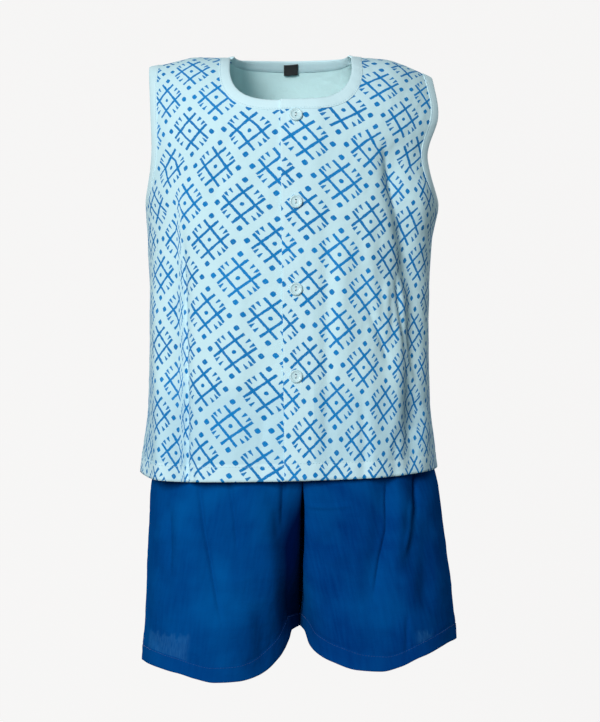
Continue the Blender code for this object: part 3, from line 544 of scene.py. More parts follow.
    def upright(self, angle_of: Callable[[Array], Array], z_low: float, z_high: float) -> Line:
        """A line up the cloth between two heights; angle_of gives its angles from its heights."""
        z = np.linspace(z_low, z_high, self.dense)
        angle = angle_of(z)
        return angle, self.hang(angle, z)


def joined(*lines: Line) -> Line:
    """Lines joined end to start, with each shared place once."""
    angles = [lines[0][0]] + [line[0][1:] for line in lines[1:]]
    falls = [lines[0][1]] + [line[1][1:] for line in lines[1:]]
    return np.concatenate(angles), np.concatenate(falls)


@dataclass(frozen=True)
class ShortsForm:
    """The shorts' middle surface, read from level sections and the seam between the legs."""

    sections: tuple[HipSection, ...] = table(
        HipSection, 0,
        (-5700, -1395, 1500, -700, 760, 850, 800), (-5400, -1372, 1465, -680, 740, 835, 790),
        (-5080, -1341, 1435, -660, 710, 815, 780), (-4640, -1323, 1387, -600, 640, 790, 765),
        (-4200, -1306, 1328, -440, 500, 765, 745), (-3800, -1284, 1276, -180, 240, 735, 705),
        (-3500, -1190, 1185, -60, 100, 700, 655), (-3240, -1030, 990, 0, 40, 665, 620),
        (-2960, -930, 930, 10, 30, 640, 600),
    )
    seam: tuple[SeamPoint, ...] = table(
        SeamPoint, 0,
        (-5400, 40, -45, 55), (-5120, 42, -45, 55), (-5030, 45, 30, 110), (-4920, 48, 190, 300),
        (-4740, 52, 370, 500), (-4520, 58, 500, 640), (-4200, 66, 590, 705),
        (-3800, 70, 650, 695), (-3500, 60, 670, 652), (-3240, 40, 664, 619),
        (-2960, 20, 640, 600),
    )
    hem: tuple[LegHemPoint, ...] = table(
        LegHemPoint, 1,
        (0.0, -5380, -5390, -5190, -5190), (0.35, -5340, -5360, -5155, -5175),
        (0.7, -5375, -5390, -5245, -5245), (0.85, -5415, -5405, -5312, -5285),
        (1.0, -5445, -5420, -5350, -5300), (1.22, -5440, -5400, -5338, -5280),
        (1.4, -5405, -5360, -5285, -5230), (1.66, -5240, -5220, -5180, -5160),
        (1.75, -5150, -5140, -5100, -5110), (1.8, -5088, -5090, -5086, -5088),
        (2.0, -5080, -5080, -5085, -5085),
    )
    waist_top_z: float = -0.2960
    waist_low_z: float = -0.3240
    apart_z: float = -0.4400
    fullness: float = 0.05
    inner_full: float = 0.16
    spread: float = 0.0075
    spread_fall: float = 0.060
    lap: float = 0.0002

    def place(self, side: Side, face: Face, place: Array, z: Array) -> Array:
        """Points from the side seam (0) over the deepest place (1) to the inner seam (2).

        Args:
            side: The wearer's side.
            face: The front or the back.
            place: Places across the panel.
            z: Heights.

        Returns:
            Points in metres, in the last axis.
        """
        column = "front" if face is Face.FRONT else "back"
        seam = read_curve(self.sections, "left_seam" if side is Side.LEFT else "right_seam", z)
        apex = read_curve(self.sections, "left_apex" if side is Side.LEFT else "right_apex", z)
        depth = read_curve(self.sections, column, z)
        inner_x = read_curve(self.seam, "x", z) - side.value * self.lap
        inner_depth = read_curve(self.seam, column, z)
        first = np.clip(place, 0.0, 1.0) * QUARTER
        second = np.clip(place - 1.0, 0.0, 1.0) * QUARTER
        outer_x = apex + (seam - apex) * np.cos(first) * bulge(first, self.fullness)
        outer_y = depth * np.sin(first) * bulge(first, self.fullness)
        spread = side.value * self.spread * ease((self.apart_z - z) / self.spread_fall)
        full = self.inner_full if side is Side.LEFT and face is Face.FRONT else self.fullness
        full = between(self.fullness, full, ease((self.waist_low_z - z) / self.spread_fall))
        inner_line_x = apex + (inner_x - apex) * np.sin(second) * bulge(second, full)
        inner_line_x = inner_line_x + spread * np.sin(2.0 * second)
        inner_line_y = inner_depth + (depth - inner_depth) * np.cos(second) * bulge(second, full)
        x = np.where(place <= 1.0, outer_x, inner_line_x)
        y = np.where(place <= 1.0, outer_y, inner_line_y)
        return np.stack([x, -face.value * y, z], axis=-1)


@dataclass
class Sheet:
    """A sheet of cloth before it gets its thickness.

    Attributes:
        points: Middle points in metres.
        faces: Four-cornered faces as rows of point numbers, turned outward.
        flat: Places on the flat cloth in metres.
        trim: For each point, how far it lies above the hem and from the free or sewn edge.
    """

    points: Array
    faces: Array
    flat: Array
    trim: Array

    @classmethod
    def grid(cls, points: Array, flat: Array, trim: Array, flip: bool) -> "Sheet":
        """A sheet from a grid of rows and columns.

        Args:
            points: Rows, columns and coordinates.
            flat: Rows, columns and the two flat places.
            trim: Rows, columns and the two distances.
            flip: Whether the faces turn the other way.

        Returns:
            The sheet, its points numbered row by row.
        """
        faces = quads(*points.shape[:2])
        return cls(points.reshape(-1, 3), faces[:, ::-1] if flip else faces,
                   flat.reshape(-1, 2), trim.reshape(-1, 2))

    def crossings(self) -> Array:
        """The faces' outward vectors, each twice as long as its face's area."""
        corners = self.points[self.faces]
        return np.cross(corners[:, 2] - corners[:, 0], corners[:, 3] - corners[:, 1])

    def normals(self) -> Array:
        """Outward directions at the points."""
        across = self.crossings()
        normals = np.zeros_like(self.points)
        for corner in range(4):
            np.add.at(normals, self.faces[:, corner], across)
        return normals / np.maximum(np.linalg.norm(normals, axis=1, keepdims=True), 1e-12)

    def pushed(self, amount: Array) -> "Sheet":
        """The sheet with its points moved outward by an amount each."""
        return replace(self, points=self.points + self.normals() * amount[:, None])

    def with_other(self, other: "Sheet") -> "Sheet":
        """This sheet and another as one, with the points that they share made one."""
        points, flat, trim = (np.concatenate(pair) for pair in (
            (self.points, other.points), (self.flat, other.flat), (self.trim, other.trim)))
        faces = np.concatenate([self.faces, other.faces + len(self.points)])
        _, first, number = np.unique(np.round(points, 6), axis=0, return_index=True,
                                     return_inverse=True)
        return Sheet(points[first], number.reshape(-1)[faces], flat[first], trim[first])

    def area(self) -> float:
        """The sheet's area in square metres."""
        return float(np.linalg.norm(self.crossings(), axis=1).sum() / 2)

    def hemmed(self, name: str, garment: "PrintedTop | BlueShorts",
               looks: list[Material]) -> Object:
        """A closed shell that is thicker inside where the hem is turned in."""
        turned = self.trim[:, 0] < garment.hem_depth
        inside = np.where(turned, garment.hem_inside, garment.inside)
        return self.shell(name, garment.outside, inside, looks)

    def shell(self, name: str, outside: Array | float, inside: Array | float,
              looks: list[Material]) -> Object:
        """A closed shell on the sheet.

        Args:
            name: The object's name.
            outside: How far the outer layer stands out, at all or at each point.
            inside: How far the inner layer stands in.
            looks: The outer and the inner material.

        Returns:
            The new object.
        """
        normals = self.normals()
        count = len(self.points)
        outer, inner = (np.broadcast_to(reach, count)[:, None] for reach in (outside, inside))
        corners = np.concatenate([self.points + normals * outer, self.points - normals * inner])
        starts = self.faces.ravel()
        ends = np.roll(self.faces, -1, axis=1).ravel()
        forward = starts.astype(np.int64) * count + ends
        border = ~np.isin(ends.astype(np.int64) * count + starts, forward)
        first, last = starts[border], ends[border]
        rim = np.stack([last, first, first + count, last + count], axis=1)
        faces = np.concatenate([self.faces, self.faces[:, ::-1] + count, rim])
        slots = np.zeros(len(faces), dtype=np.int32)
        slots[len(self.faces):2 * len(self.faces)] = len(looks) - 1
        item = mesh_object(name, corners, faces, looks)
        item.data.polygons.foreach_set("material_index", slots)
        for name_of_map, places in (("cloth", self.flat), ("trim", self.trim)):
            add_map(item, name_of_map, np.concatenate([places, places])[faces.ravel()])
        return item


def placed(name: str, data: bpy.types.ID) -> Object:
    """A new object in the scene that shows some data."""
    item = bpy.data.objects.new(name, data)
    bpy.context.scene.collection.objects.link(item)
    return item


def mesh_object(name: str, corners: Array | list, faces: Array | list,
                looks: list[Material]) -> Object:
    """A smooth-shaded object in the scene.

    Args:
        name: The object's name.
        corners: Its points.
        faces: Its faces as rows of point numbers.
        looks: Its materials.

    Returns:
        The new object.
    """
    mesh = bpy.data.meshes.new(name)
    rows = faces.tolist() if isinstance(faces, np.ndarray) else faces
    mesh.from_pydata(np.asarray(corners).tolist(), [], rows)
    for look in looks:
        mesh.materials.append(look)
    mesh.shade_smooth()
    return placed(name, mesh)


def add_map(item: Object, name: str, places: Array) -> None:
    """Give a mesh a map of flat places, one for each face corner."""
    layer = item.data.uv_layers.new(name=name)
    layer.data.foreach_set("uv", np.ascontiguousarray(places, dtype=np.float32).ravel())


def crease_push(points: Array, creases: tuple[Crease, ...], calm: float) -> Array:
    """How far the creases move points out. Distances are seen from the front.

    Args:
        points: Points of a sheet.
        creases: The creases of the garment.
        calm: Depth from the side seams within which the creases fade.

    Returns:
        One distance for each point.
    """
    push = np.zeros(len(points))
    place = points[:, [0, 2]]
    still = ease(np.abs(points[:, 1]) / calm)
    for crease in creases:
        on_face = (points[:, 1] < 0.0) == (crease.face is Face.FRONT)
        best = np.full(len(points), np.inf)
        along = np.zeros(len(points))
        run = 0.0
        for start, end in zip(crease.path, crease.path[1:]):
            step = np.array(end) - np.array(start)
            share = np.clip(((place - start) @ step) / (step @ step), 0.0, 1.0)
            away = np.linalg.norm(place - (np.array(start) + share[:, None] * step), axis=1)
            closer = away < best
            along = np.where(closer, run + share * np.linalg.norm(step), along)
            best = np.where(closer, away, best)
            run += float(np.linalg.norm(step))
        t = best / crease.half_width
        shape = (1.0 - crease.rise * t**2) * np.exp(-t**2)
        fade = ease(along / run / CREASE_END) * ease((1.0 - along / run) / CREASE_END)
        push += np.where(on_face, crease.depth * shape * fade * still, 0.0)
    return push


class Wire:
    """A node's output in arithmetic: each operator adds the Math node that it stands for."""

    def __init__(self, dye: "Dye", socket: Socket) -> None:
        """Wrap an output socket of a material's tree."""
        self.dye = dye
        self.socket = socket

    def maths(self, operation: str, *others: "Wire | float") -> "Wire":
        """A Math node on this value and others."""
        return self.dye.maths(operation, self, *others)

    def __add__(self, other: "Wire | float") -> "Wire":
        """This value plus another."""
        return self.maths("ADD", other)

    __radd__ = __add__

    def __sub__(self, other: "Wire | float") -> "Wire":
        """This value less another."""
        return self.maths("SUBTRACT", other)

    def __rsub__(self, other: float) -> "Wire":
        """A number less this value."""
        return self.dye.maths("SUBTRACT", other, self)

    def __mul__(self, other: "Wire | float") -> "Wire":
        """This value times another."""
        return self.maths("MULTIPLY", other)

    __rmul__ = __mul__

    def __truediv__(self, other: "Wire | float") -> "Wire":
        """This value over another."""
        return self.maths("DIVIDE", other)

    def __abs__(self) -> "Wire":
        """This value without its sign."""
        return self.maths("ABSOLUTE")

    def __gt__(self, other: "Wire | float") -> "Wire":
        """1 where this value is above another, else 0."""
        return self.maths("GREATER_THAN", other)

    def sign(self) -> "Wire":
        """-1, 0 or 1 as this value is below, at or above 0."""
        return self.maths("SIGN")

    def nearest(self) -> "Wire":
        """The nearest whole number."""
        return self.maths("ROUND")

    def most(self, other: "Wire | float") -> "Wire":
        """The higher of two values."""
        return self.maths("MAXIMUM", other)

    def held(self) -> "Wire":
        """This value kept between 0 and 1."""
        return self.maths("ADD", 0.0).clamped()

    def clamped(self) -> "Wire":
        """This node's result clamped to 0 to 1."""
        self.socket.node.use_clamp = True
        return self

    def soft(self, width: float) -> "Wire":
        """An edge at 0 that rises from 0 to 1 over a width."""
        return (self / width + 0.5).clamped()


def length_of(x: Wire, y: Wire) -> Wire:
    """The length of a flat vector."""
    return (x * x + y * y).maths("SQRT")


class Dye:
    """A material under construction: its node tree and the Principled shader at its end."""

    def __init__(self, name: str) -> None:
        """Start a material with a Principled shader."""
        self.material = bpy.data.materials.new(name)
        self.material.use_nodes = True
        self.tree = self.material.node_tree
        self.shader = self.tree.nodes["Principled BSDF"]

    def node(self, kind: str, settings: dict[str, Any] | None = None,
             inputs: dict[Any, Any] | None = None) -> Node:
        """Add a node.

        Args:
            kind: The node's type.
            settings: Its properties, set before its sockets.
            inputs: Values or links of its sockets by name or number.

        Returns:
            The new node.
        """
        made = self.tree.nodes.new(kind)
        for key, value in (settings or {}).items():
            setattr(made, key, value)
        for key, value in (inputs or {}).items():
            self.feed(made.inputs[key], value)
        return made

    def feed(self, socket: Socket, value: Any) -> None:
        """Set a socket to a number or a colour, or link a wire or another socket to it."""
        if isinstance(value, Wire):
            value = value.socket
        if isinstance(value, Socket):
            self.tree.links.new(value, socket)
        elif socket.type == "RGBA":
            socket.default_value = (*value, 1.0)
        else:
            socket.default_value = value

    def wire(self, kind: str, output: str | int = 0, settings: dict[str, Any] | None = None,
             inputs: dict[Any, Any] | None = None) -> Wire:
        """Add a node and return one of its outputs."""
        return Wire(self, self.node(kind, settings, inputs).outputs[output])

    def maths(self, operation: str, *values: Wire | float) -> Wire:
        """The result of a Math node."""
        return self.wire("ShaderNodeMath", 0, {"operation": operation}, dict(enumerate(values)))

    def cloth_place(self, name: str = "cloth") -> tuple[Wire, Wire]:
        """The two parts of a map, in millimetres."""
        where = self.node("ShaderNodeUVMap", {"uv_map": name})
        parts = self.node("ShaderNodeSeparateXYZ", None, {0: where.outputs[0]})
        return Wire(self, parts.outputs[0]) * 1000.0, Wire(self, parts.outputs[1]) * 1000.0

    def vector(self, x: Wire | float, y: Wire | float, z: Wire | float = 0.0) -> Wire:
        """A vector from its parts."""
        return self.wire("ShaderNodeCombineXYZ", 0, None, {0: x, 1: y, 2: z})

    def noise(self, place: Wire, scale: float, detail: float = 2.0) -> Wire:
        """Smooth noise from 0 to 1 at a scale."""
        return self.wire("ShaderNodeTexNoise", "Fac", None,
                         {"Vector": place, "Scale": scale, "Detail": detail})

    def clouds(self, u: Wire, v: Wire, scale: float, detail: float = 3.0) -> Wire:
        """Smooth noise over the cloth, its scale per metre."""
        return self.noise(self.vector(u * MM, v * MM), scale, detail)

    def streaks(self, u: Wire, v: Wire, across: float, upward: float, detail: float = 3.0) -> Wire:
        """Smooth noise over the cloth with a scale across it and one up it, per millimetre."""
        return self.noise(self.vector(u * across, v * upward), 1.0, detail)

    def blend(self, share: Wire | float, first: Any, second: Any) -> Wire:
        """A colour between two colours."""
        settings = {"data_type": "RGBA", "blend_type": "MIX"}
        made = self.node("ShaderNodeMix", settings, {"Factor": share})
        self.feed(made.inputs[6], first)
        self.feed(made.inputs[7], second)
        return Wire(self, made.outputs[2])

    def relief(self, height: Wire, distance: float) -> Wire:
        """A surface direction bent by a height, for the shader's Normal."""
        return self.wire("ShaderNodeBump", 0, None,
                         {"Height": height, "Distance": distance, "Strength": 1.0})

    def finish(self, **sockets: Any) -> Material:
        """Set or link the shader's sockets, whose names are given with _ for a space."""
        for key, value in sockets.items():
            self.feed(self.shader.inputs[key.replace("_", " ")], value)
        return self.material


@dataclass(frozen=True)
class Weave:
    """How plain-woven cotton looks up close: slubs in its threads and a fine crinkle."""

    slub_long: float = 55.0
    slub_short: float = 1400.0
    crinkle: float = 210.0

    def threads(self, dye: Dye, u: Wire, v: Wire) -> Wire:
        """Unevenness of the threads of both directions, from 0 to 1."""
        weft = dye.streaks(u, v, self.slub_long * MM, self.slub_short * MM, 2.0)
        warp = dye.streaks(u, v, self.slub_short * MM, self.slub_long * MM, 2.0)
        return (weft + warp) * 0.5

    def height(self, dye: Dye, u: Wire, v: Wire) -> Wire:
        """Relief of threads and crinkle, from about 0 to 1."""
        return self.threads(dye, u, v) * 0.35 + dye.clouds(u, v, self.crinkle) * 0.65


@dataclass(frozen=True)
class BlockPrint:
    """A hand-block lattice motif: a hatched square with dots and ticks, in two interleaved sets.

    Sizes are in millimetres on the flat cloth. columns and rows each give a lattice number
    from the flat place u, v in decimetres, v from the middle of the cloth: the shares of 1,
    u, v, uv and of the squared distance past the middle strip, because printed cloth is
    never quite square. A second set lies half a period off in both.
    """

    columns: tuple[float, float, float, float, float]
    rows: tuple[float, float, float, float, float]
    middle_v: float = -200.0
    strip: float = 0.4
    period_across: float = 52.0
    period_up: float = 63.0
    motif_turn: float = 42.5
    bar_place: float = 7.2
    bar_half: float = 1.16
    bar_reach: float = 16.4
    dot_radius: float = 1.75
    corner_place: float = 14.6
    corner_radius: float = 2.2
    tick_near: float = 12.2
    tick_far: float = 16.9
    tick_place: float = 1.6
    tick_apart: float = 2.35
    wobble: float = 1.1
    edge: float = 0.40

    def local_place(self, dye: Dye, u: Wire, v: Wire) -> tuple[Wire, Wire, Wire]:
        """Place within the nearest motif, in its own turned axes.

        Args:
            dye: The material under construction.
            u: Place across the cloth.
            v: Place up the cloth.

        Returns:
            The two places and a value that differs from motif to motif.
        """
        wide, tall = u * 0.01, (v - self.middle_v) * 0.01
        past = (abs(wide) - self.strip).most(0.0)
        terms = (wide, tall, wide * tall, past * past)
        along, upward = (sum((term * share for term, share in zip(terms, shares)), start=start)
                         for start, *shares in (self.columns, self.rows))
        column, row = along.nearest(), upward.nearest()
        a, b = along - column, upward - row
        other = (abs(a) + abs(b)) > 0.5
        shift_a, shift_b = a.sign() * other * 0.5, b.sign() * other * 0.5
        number = dye.vector(column + shift_a, row + shift_b)
        own = dye.wire("ShaderNodeTexWhiteNoise", "Value", {"noise_dimensions": "3D"},
                       {"Vector": number})
        x, y = (a - shift_a) * self.period_across, (b - shift_b) * self.period_up
        cos, sin = math.cos(math.radians(self.motif_turn)), math.sin(math.radians(self.motif_turn))
        return x * cos + y * sin, y * cos - x * sin, own

    def bar(self, across: Wire, along: Wire, press: Wire) -> Wire:
        """A pair of bars at both sides of the middle, wider where the block pressed harder."""
        thick = (press + self.bar_half - abs(across - self.bar_place)).soft(self.edge)
        return thick * (self.bar_reach - along).soft(self.edge)

    def ticks(self, x: Wire, y: Wire) -> Wire:
        """Pairs of wedges between the bars' ends, wide at their outer end."""
        far = abs(y)
        half = (far - self.tick_near) * 0.24 + 0.35
        off = abs(abs(x * y.sign() + self.tick_place) - self.tick_apart)
        body = (half - off).soft(self.edge)
        return body * (far - self.tick_near).soft(self.edge) * (self.tick_far - far).soft(self.edge)

    def mask(self, dye: Dye, u: Wire, v: Wire) -> tuple[Wire, Wire]:
        """Where the block printed.

        Args:
            dye: The material under construction.
            u: Place across the cloth.
            v: Place up the cloth.

        Returns:
            The printed share from 0 to 1 and a value that differs from motif to motif.
        """
        place = dye.vector(u * MM, v * MM)
        stray = dye.wire("ShaderNodeTexNoise", "Color", None,
                         {"Vector": place, "Scale": 420.0, "Detail": 4.0})
        parts = dye.node("ShaderNodeSeparateXYZ", None, {0: stray})
        off_u, off_v = ((Wire(dye, parts.outputs[axis]) - 0.5) * self.wobble for axis in (0, 1))
        x, y, own = self.local_place(dye, u + off_u, v + off_v)
        far_x, far_y = abs(x), abs(y)
        press = (dye.noise(place, 150.0) - 0.5) * 1.1
        bars = self.bar(far_x, far_y, press).most(self.bar(far_y, far_x, press))
        dot = (press + self.dot_radius - length_of(x, y)).soft(self.edge)
        aside, beyond = abs(far_x - self.corner_place), abs(far_y - self.corner_place)
        corner = length_of(aside, beyond) * 0.5 + aside.most(beyond) * 0.5
        corners = (self.corner_radius - corner).soft(self.edge)
        ticks = self.ticks(x, y).most(self.ticks(y, x))
        return bars.most(dot).most(corners).most(ticks), own


class Spool(Enum):
    """Sewing threads and their linear colours."""

    AQUA = (0.50, 0.76, 0.86)
    BLUE = (0.010, 0.075, 0.300)
    PALE = (0.78, 0.84, 0.86)
    BLACK = (0.012, 0.012, 0.014)


class Patch(NamedTuple):
    """A place painted paler as light through thin cloth: middle and half sizes in millimetres."""

    u: float
    v: float
    half_u: float
    half_v: float


@dataclass(frozen=True)
class Finishes:
    """The set's materials. Colours are linear, and places on the cloth are in millimetres."""

    aqua: Tone = (0.625, 0.850, 0.905)
    aqua_deep: Tone = (0.525, 0.760, 0.830)
    # painted light: the inside colour is lighter than the aqua cloth, standing in for light through
    # the thin back
    aqua_inside: Tone = (0.690, 0.960, 0.980)
    # the binding's own aqua, made lighter than the ground partly as painted rim light at the edges
    binding_aqua: Tone = (0.730, 0.925, 0.970)
    ink: Tone = (0.001, 0.235, 0.620)
    ink_deep: Tone = (0.0005, 0.155, 0.430)
    blue: Tone = (0.0006, 0.0560, 0.2400)
    blue_deep: Tone = (0.0004, 0.0290, 0.1620)
    # painted light: the paler blue of one thin layer with light from behind coming through
    blue_sheer: Tone = (0.030, 0.150, 0.380)
    aqua_double: Tone = (0.60, 0.82, 0.90)
    # painted shade: darker aqua where the blue shorts lie under the thin top
    aqua_low: Tone = (0.12, 0.38, 0.62)
    # painted light: a clearer, greener blue standing in for light through the thin cloth
    blue_clear: Tone = (0.0006, 0.094, 0.330)
    # painted shade: near-black blue for the shade between the legs
    blue_layers: Tone = (0.0002, 0.0026, 0.032)
    blue_hem: Tone = (0.0008, 0.046, 0.215)
    blue_sheen: Tone = (0.01, 0.35, 1.0)
    shell: Tone = (0.62, 0.79, 0.84)
    shell_deep: Tone = (0.52, 0.75, 0.80)
    shell_cloud: Tone = (0.46, 0.71, 0.73)
    tape_light: Tone = (0.015, 0.016, 0.019)
    tape_deep: Tone = (0.004, 0.0045, 0.006)
    fold_soft: float = 0.7
    tucked_v: float = -288.0
    tucked_fade: float = 16.0
    fork_v: float = -372.0
    fork_fade: float = 60.0
    blue_hem_depth: float = 13.5
    weft_pitch: float = 0.45
    weave: Weave = Weave()

    def printed(self, name: str, block: BlockPrint, hem_depth: float,
                placket: float) -> Material:
        """Thin aqua cotton with the block print.

        Args:
            name: The material's name.
            block: The print as it falls on this piece.
            hem_depth: Depth of the turned hem, which is paler double cloth.
            placket: Width of the double cloth along the free edge, or 0.

        Returns:
            The material.
        """
        dye = Dye(name)
        u, v = dye.cloth_place()
        above, from_edge = dye.cloth_place("trim")
        mask, own = block.mask(dye, u, v)
        threads = self.weave.threads(dye, u, v)
        tone = (threads * 0.55 + dye.clouds(u, v, 38.0) * 0.45).held()
        ground = dye.blend(tone, self.aqua_deep, self.aqua)
        double = (hem_depth - above).soft(self.fold_soft)
        if placket > 0.0:
            double = double.most((placket - from_edge).soft(self.fold_soft))
        ground = dye.blend(double * 0.45, ground, self.aqua_double)
        # painted shade: the ground darkens below the shorts' waist, as the dark shorts seen through
        # the thin top
        through = ((self.tucked_v - v) / self.tucked_fade).clamped() * (1.0 - double)
        ground = dye.blend(through * 0.16, ground, self.aqua_low)
        worn = dye.clouds(u, v, 900.0, 2.0)
        ink = dye.blend((own * 0.55 + worn * 0.45).held(), self.ink_deep, self.ink)
        cover = mask * ((worn - 0.28) * 5.0).clamped().maths("MULTIPLY_ADD", 0.16, 0.84)
        return dye.finish(Base_Color=dye.blend(cover, ground, ink), Roughness=0.88 - threads * 0.08,
                          Normal=dye.relief(self.weave.height(dye, u, v), 0.00045),
                          Sheen_Weight=0.03, Sheen_Roughness=0.5, Specular_IOR_Level=0.08)

    def plain(self, name: str, light: Tone, deep: Tone, relief: float = 0.0004) -> Material:
        """Plain cotton of one colour with slubs and a crinkle."""
        dye = Dye(name)
        u, v = dye.cloth_place()
        threads = self.weave.threads(dye, u, v)
        tone = (threads * 0.6 + dye.clouds(u, v, 45.0) * 0.4).held()
        return dye.finish(Base_Color=dye.blend(tone, deep, light), Roughness=0.86 - threads * 0.06,
                          Normal=dye.relief(self.weave.height(dye, u, v), relief),
                          Sheen_Weight=0.12, Sheen_Roughness=0.5, Specular_IOR_Level=0.25)

    def sheer_blue(self, name: str, patch: Patch | None = None, inseam_shade_reach: float = 9.0,
                   clear: float = 0.0) -> Material:
        """Thin blue cotton, with painted see-through light and painted shade between the legs.

        Args:
            name: The material's name.
            patch: A place painted paler as light through the thin cloth, or None.
            inseam_shade_reach: How far from the inner seam painted shade and show-through of layers
                reach.
            clear: Share of the greener blue painted as light through the cloth, lifting the lit
                leg.

        Returns:
            The material.
        """
        dye = Dye(name)
        u, v = dye.cloth_place()
        above, from_inseam = dye.cloth_place("trim")
        threads = self.weave.threads(dye, u, v)
        uneven = threads * 0.3 + dye.streaks(u, v, 0.30, 0.035) * 0.5 + dye.clouds(u, v, 30.0) * 0.5
        base = dye.blend(((uneven - 0.65) * 2.4 + 0.5).clamped(), self.blue_deep, self.blue)
        # painted light: greener blue as light through the thin cloth, in random clouds and lifted
        # evenly on the lit leg
        green = ((dye.clouds(u, v, 22.0, 2.0) - 0.45) * 3.0).clamped()
        base = dye.blend(green * 0.60 + clear, base, self.blue_clear)
        # painted shade: the blue darkens near the inner seam below the fork, the shade between the
        # legs with the layers behind
        layers = ((inseam_shade_reach - from_inseam) / inseam_shade_reach).clamped()
        layers = layers * ((self.fork_v - v) / self.fork_fade).clamped()
        base = dye.blend((layers * 2.2).clamped() * 0.96, base, self.blue_layers)
        hem = (self.blue_hem_depth - above).soft(0.8)
        base = dye.blend(hem * 0.35, base, self.blue_hem)
        # painted light: the patch lightens the blue as light from behind coming through one thin
        # layer
        if patch is not None:
            rough = dye.streaks(u, v, 0.16, 0.10) * 16.0
            box = ((patch.half_u - abs(u - patch.u)) / 5.0).clamped()
            box = box * ((patch.half_v + 8.0 - rough - abs(v - patch.v)) / 4.0).clamped()
            thin = ((dye.streaks(u, v, 1.3, 0.12) - 0.30) * 2.6).clamped()
            base = dye.blend(box * thin * (1.0 - hem) * 0.50, base, self.blue_sheer)
        return dye.finish(Base_Color=base, Roughness=0.82 - threads * 0.1,
                          Normal=dye.relief(self.weave.height(dye, u, v), 0.00045),
                          Sheen_Weight=0.08, Sheen_Roughness=0.45, Sheen_Tint=self.blue_sheen,
                          Specular_IOR_Level=0.0)

    def thread(self, spool: Spool) -> Material:
        """Spun sewing thread."""
        dye = Dye("thread_" + spool.name.lower())
        ply = dye.noise(dye.wire("ShaderNodeTexCoord", "Object"), 3000.0)
        deep = tuple(part * 0.72 for part in spool.value)
        return dye.finish(Base_Color=dye.blend(ply, deep, spool.value), Roughness=0.6,
                          Sheen_Weight=0.1, Normal=dye.relief(ply, 0.0001))

    def pearl(self) -> Material:
        """Shell-white button with faint layers under a clear gloss."""
        dye = Dye("pearl_shell")
        where = dye.wire("ShaderNodeTexCoord", "Object")
        layers = dye.wire("ShaderNodeTexWave", "Fac",
                          {"wave_type": "BANDS", "bands_direction": "DIAGONAL"},
                          {"Vector": where, "Scale": 120.0, "Distortion": 9.0, "Detail": 3.0,
                           "Detail Scale": 1.5})
        cloudy = dye.noise(where, 300.0, 3.0)
        base = dye.blend(layers, self.shell_deep, self.shell)
        base = dye.blend(cloudy * 0.35, base, self.shell_cloud)
        return dye.finish(Base_Color=base, Roughness=0.30 + cloudy * 0.12, Coat_Weight=0.25,
                          Coat_Roughness=0.2, Subsurface_Weight=0.08,
                          Subsurface_Radius=(0.002, 0.002, 0.002),
                          Normal=dye.relief(layers, 0.00006))

    def tape(self) -> Material:
        """Black satin-woven label tape."""
        dye = Dye("black_tape")
        u, v = dye.cloth_place()
        weft = (v * (math.tau / self.weft_pitch)).maths("SINE") * 0.5 + 0.5
        tone = (weft * 0.5 + dye.streaks(u, v, 3.0, 0.3, 2.0) * 0.5).held()
        return dye.finish(Base_Color=dye.blend(tone, self.tape_deep, self.tape_light),
                          Roughness=0.55, Sheen_Weight=0.04, Normal=dye.relief(weft, 0.00012))


@dataclass(frozen=True)
class Unevenness:
    """The small waves of worn cloth, its puckered hem and its sunk side seams, in metres.

    broad, fine and pucker hold a height and a wavelength each, and seam a depth and a half
    width. pucker_drawn is how far the puckers are drawn out up the cloth.
    """

    hem_depth: float
    broad: Pair
    fine: Pair
    pucker: Pair
    pucker_drawn: float
    hem_sink: float
    seam: Pair
    pucker_reach: float = 0.0035
    stitch_reach: float = 0.0009

    def push(self, sheet: Sheet, seed: int, broad_share: Array, fine_share: Array | float,
             from_seam: Array) -> Array:
        """How far the waves move a sheet's points out.

        Args:
            sheet: The sheet.
            seed: Picks the waves.
            broad_share: How much of the broad waves each point gets.
            fine_share: How much of the fine waves each point gets.
            from_seam: Distance of each point from the side seam.

        Returns:
            One distance for each point.
        """
        from_stitch = sheet.trim[:, 0] - self.hem_depth
        drawn = sheet.flat * np.array([1.0, self.pucker_drawn])
        push = self.broad[0] * soft_noise(sheet.flat, self.broad[1], seed) * broad_share
        push += self.fine[0] * soft_noise(sheet.flat, self.fine[1], seed + 5) * fine_share
        push += (np.exp(-(from_stitch / self.pucker_reach) ** 2) * self.pucker[0]
                 * soft_noise(drawn, self.pucker[1], seed + 9))
        push -= self.hem_sink * np.exp(-(from_stitch / self.stitch_reach) ** 2)
        return push - self.seam[0] * np.exp(-(from_seam / self.seam[1]) ** 2)


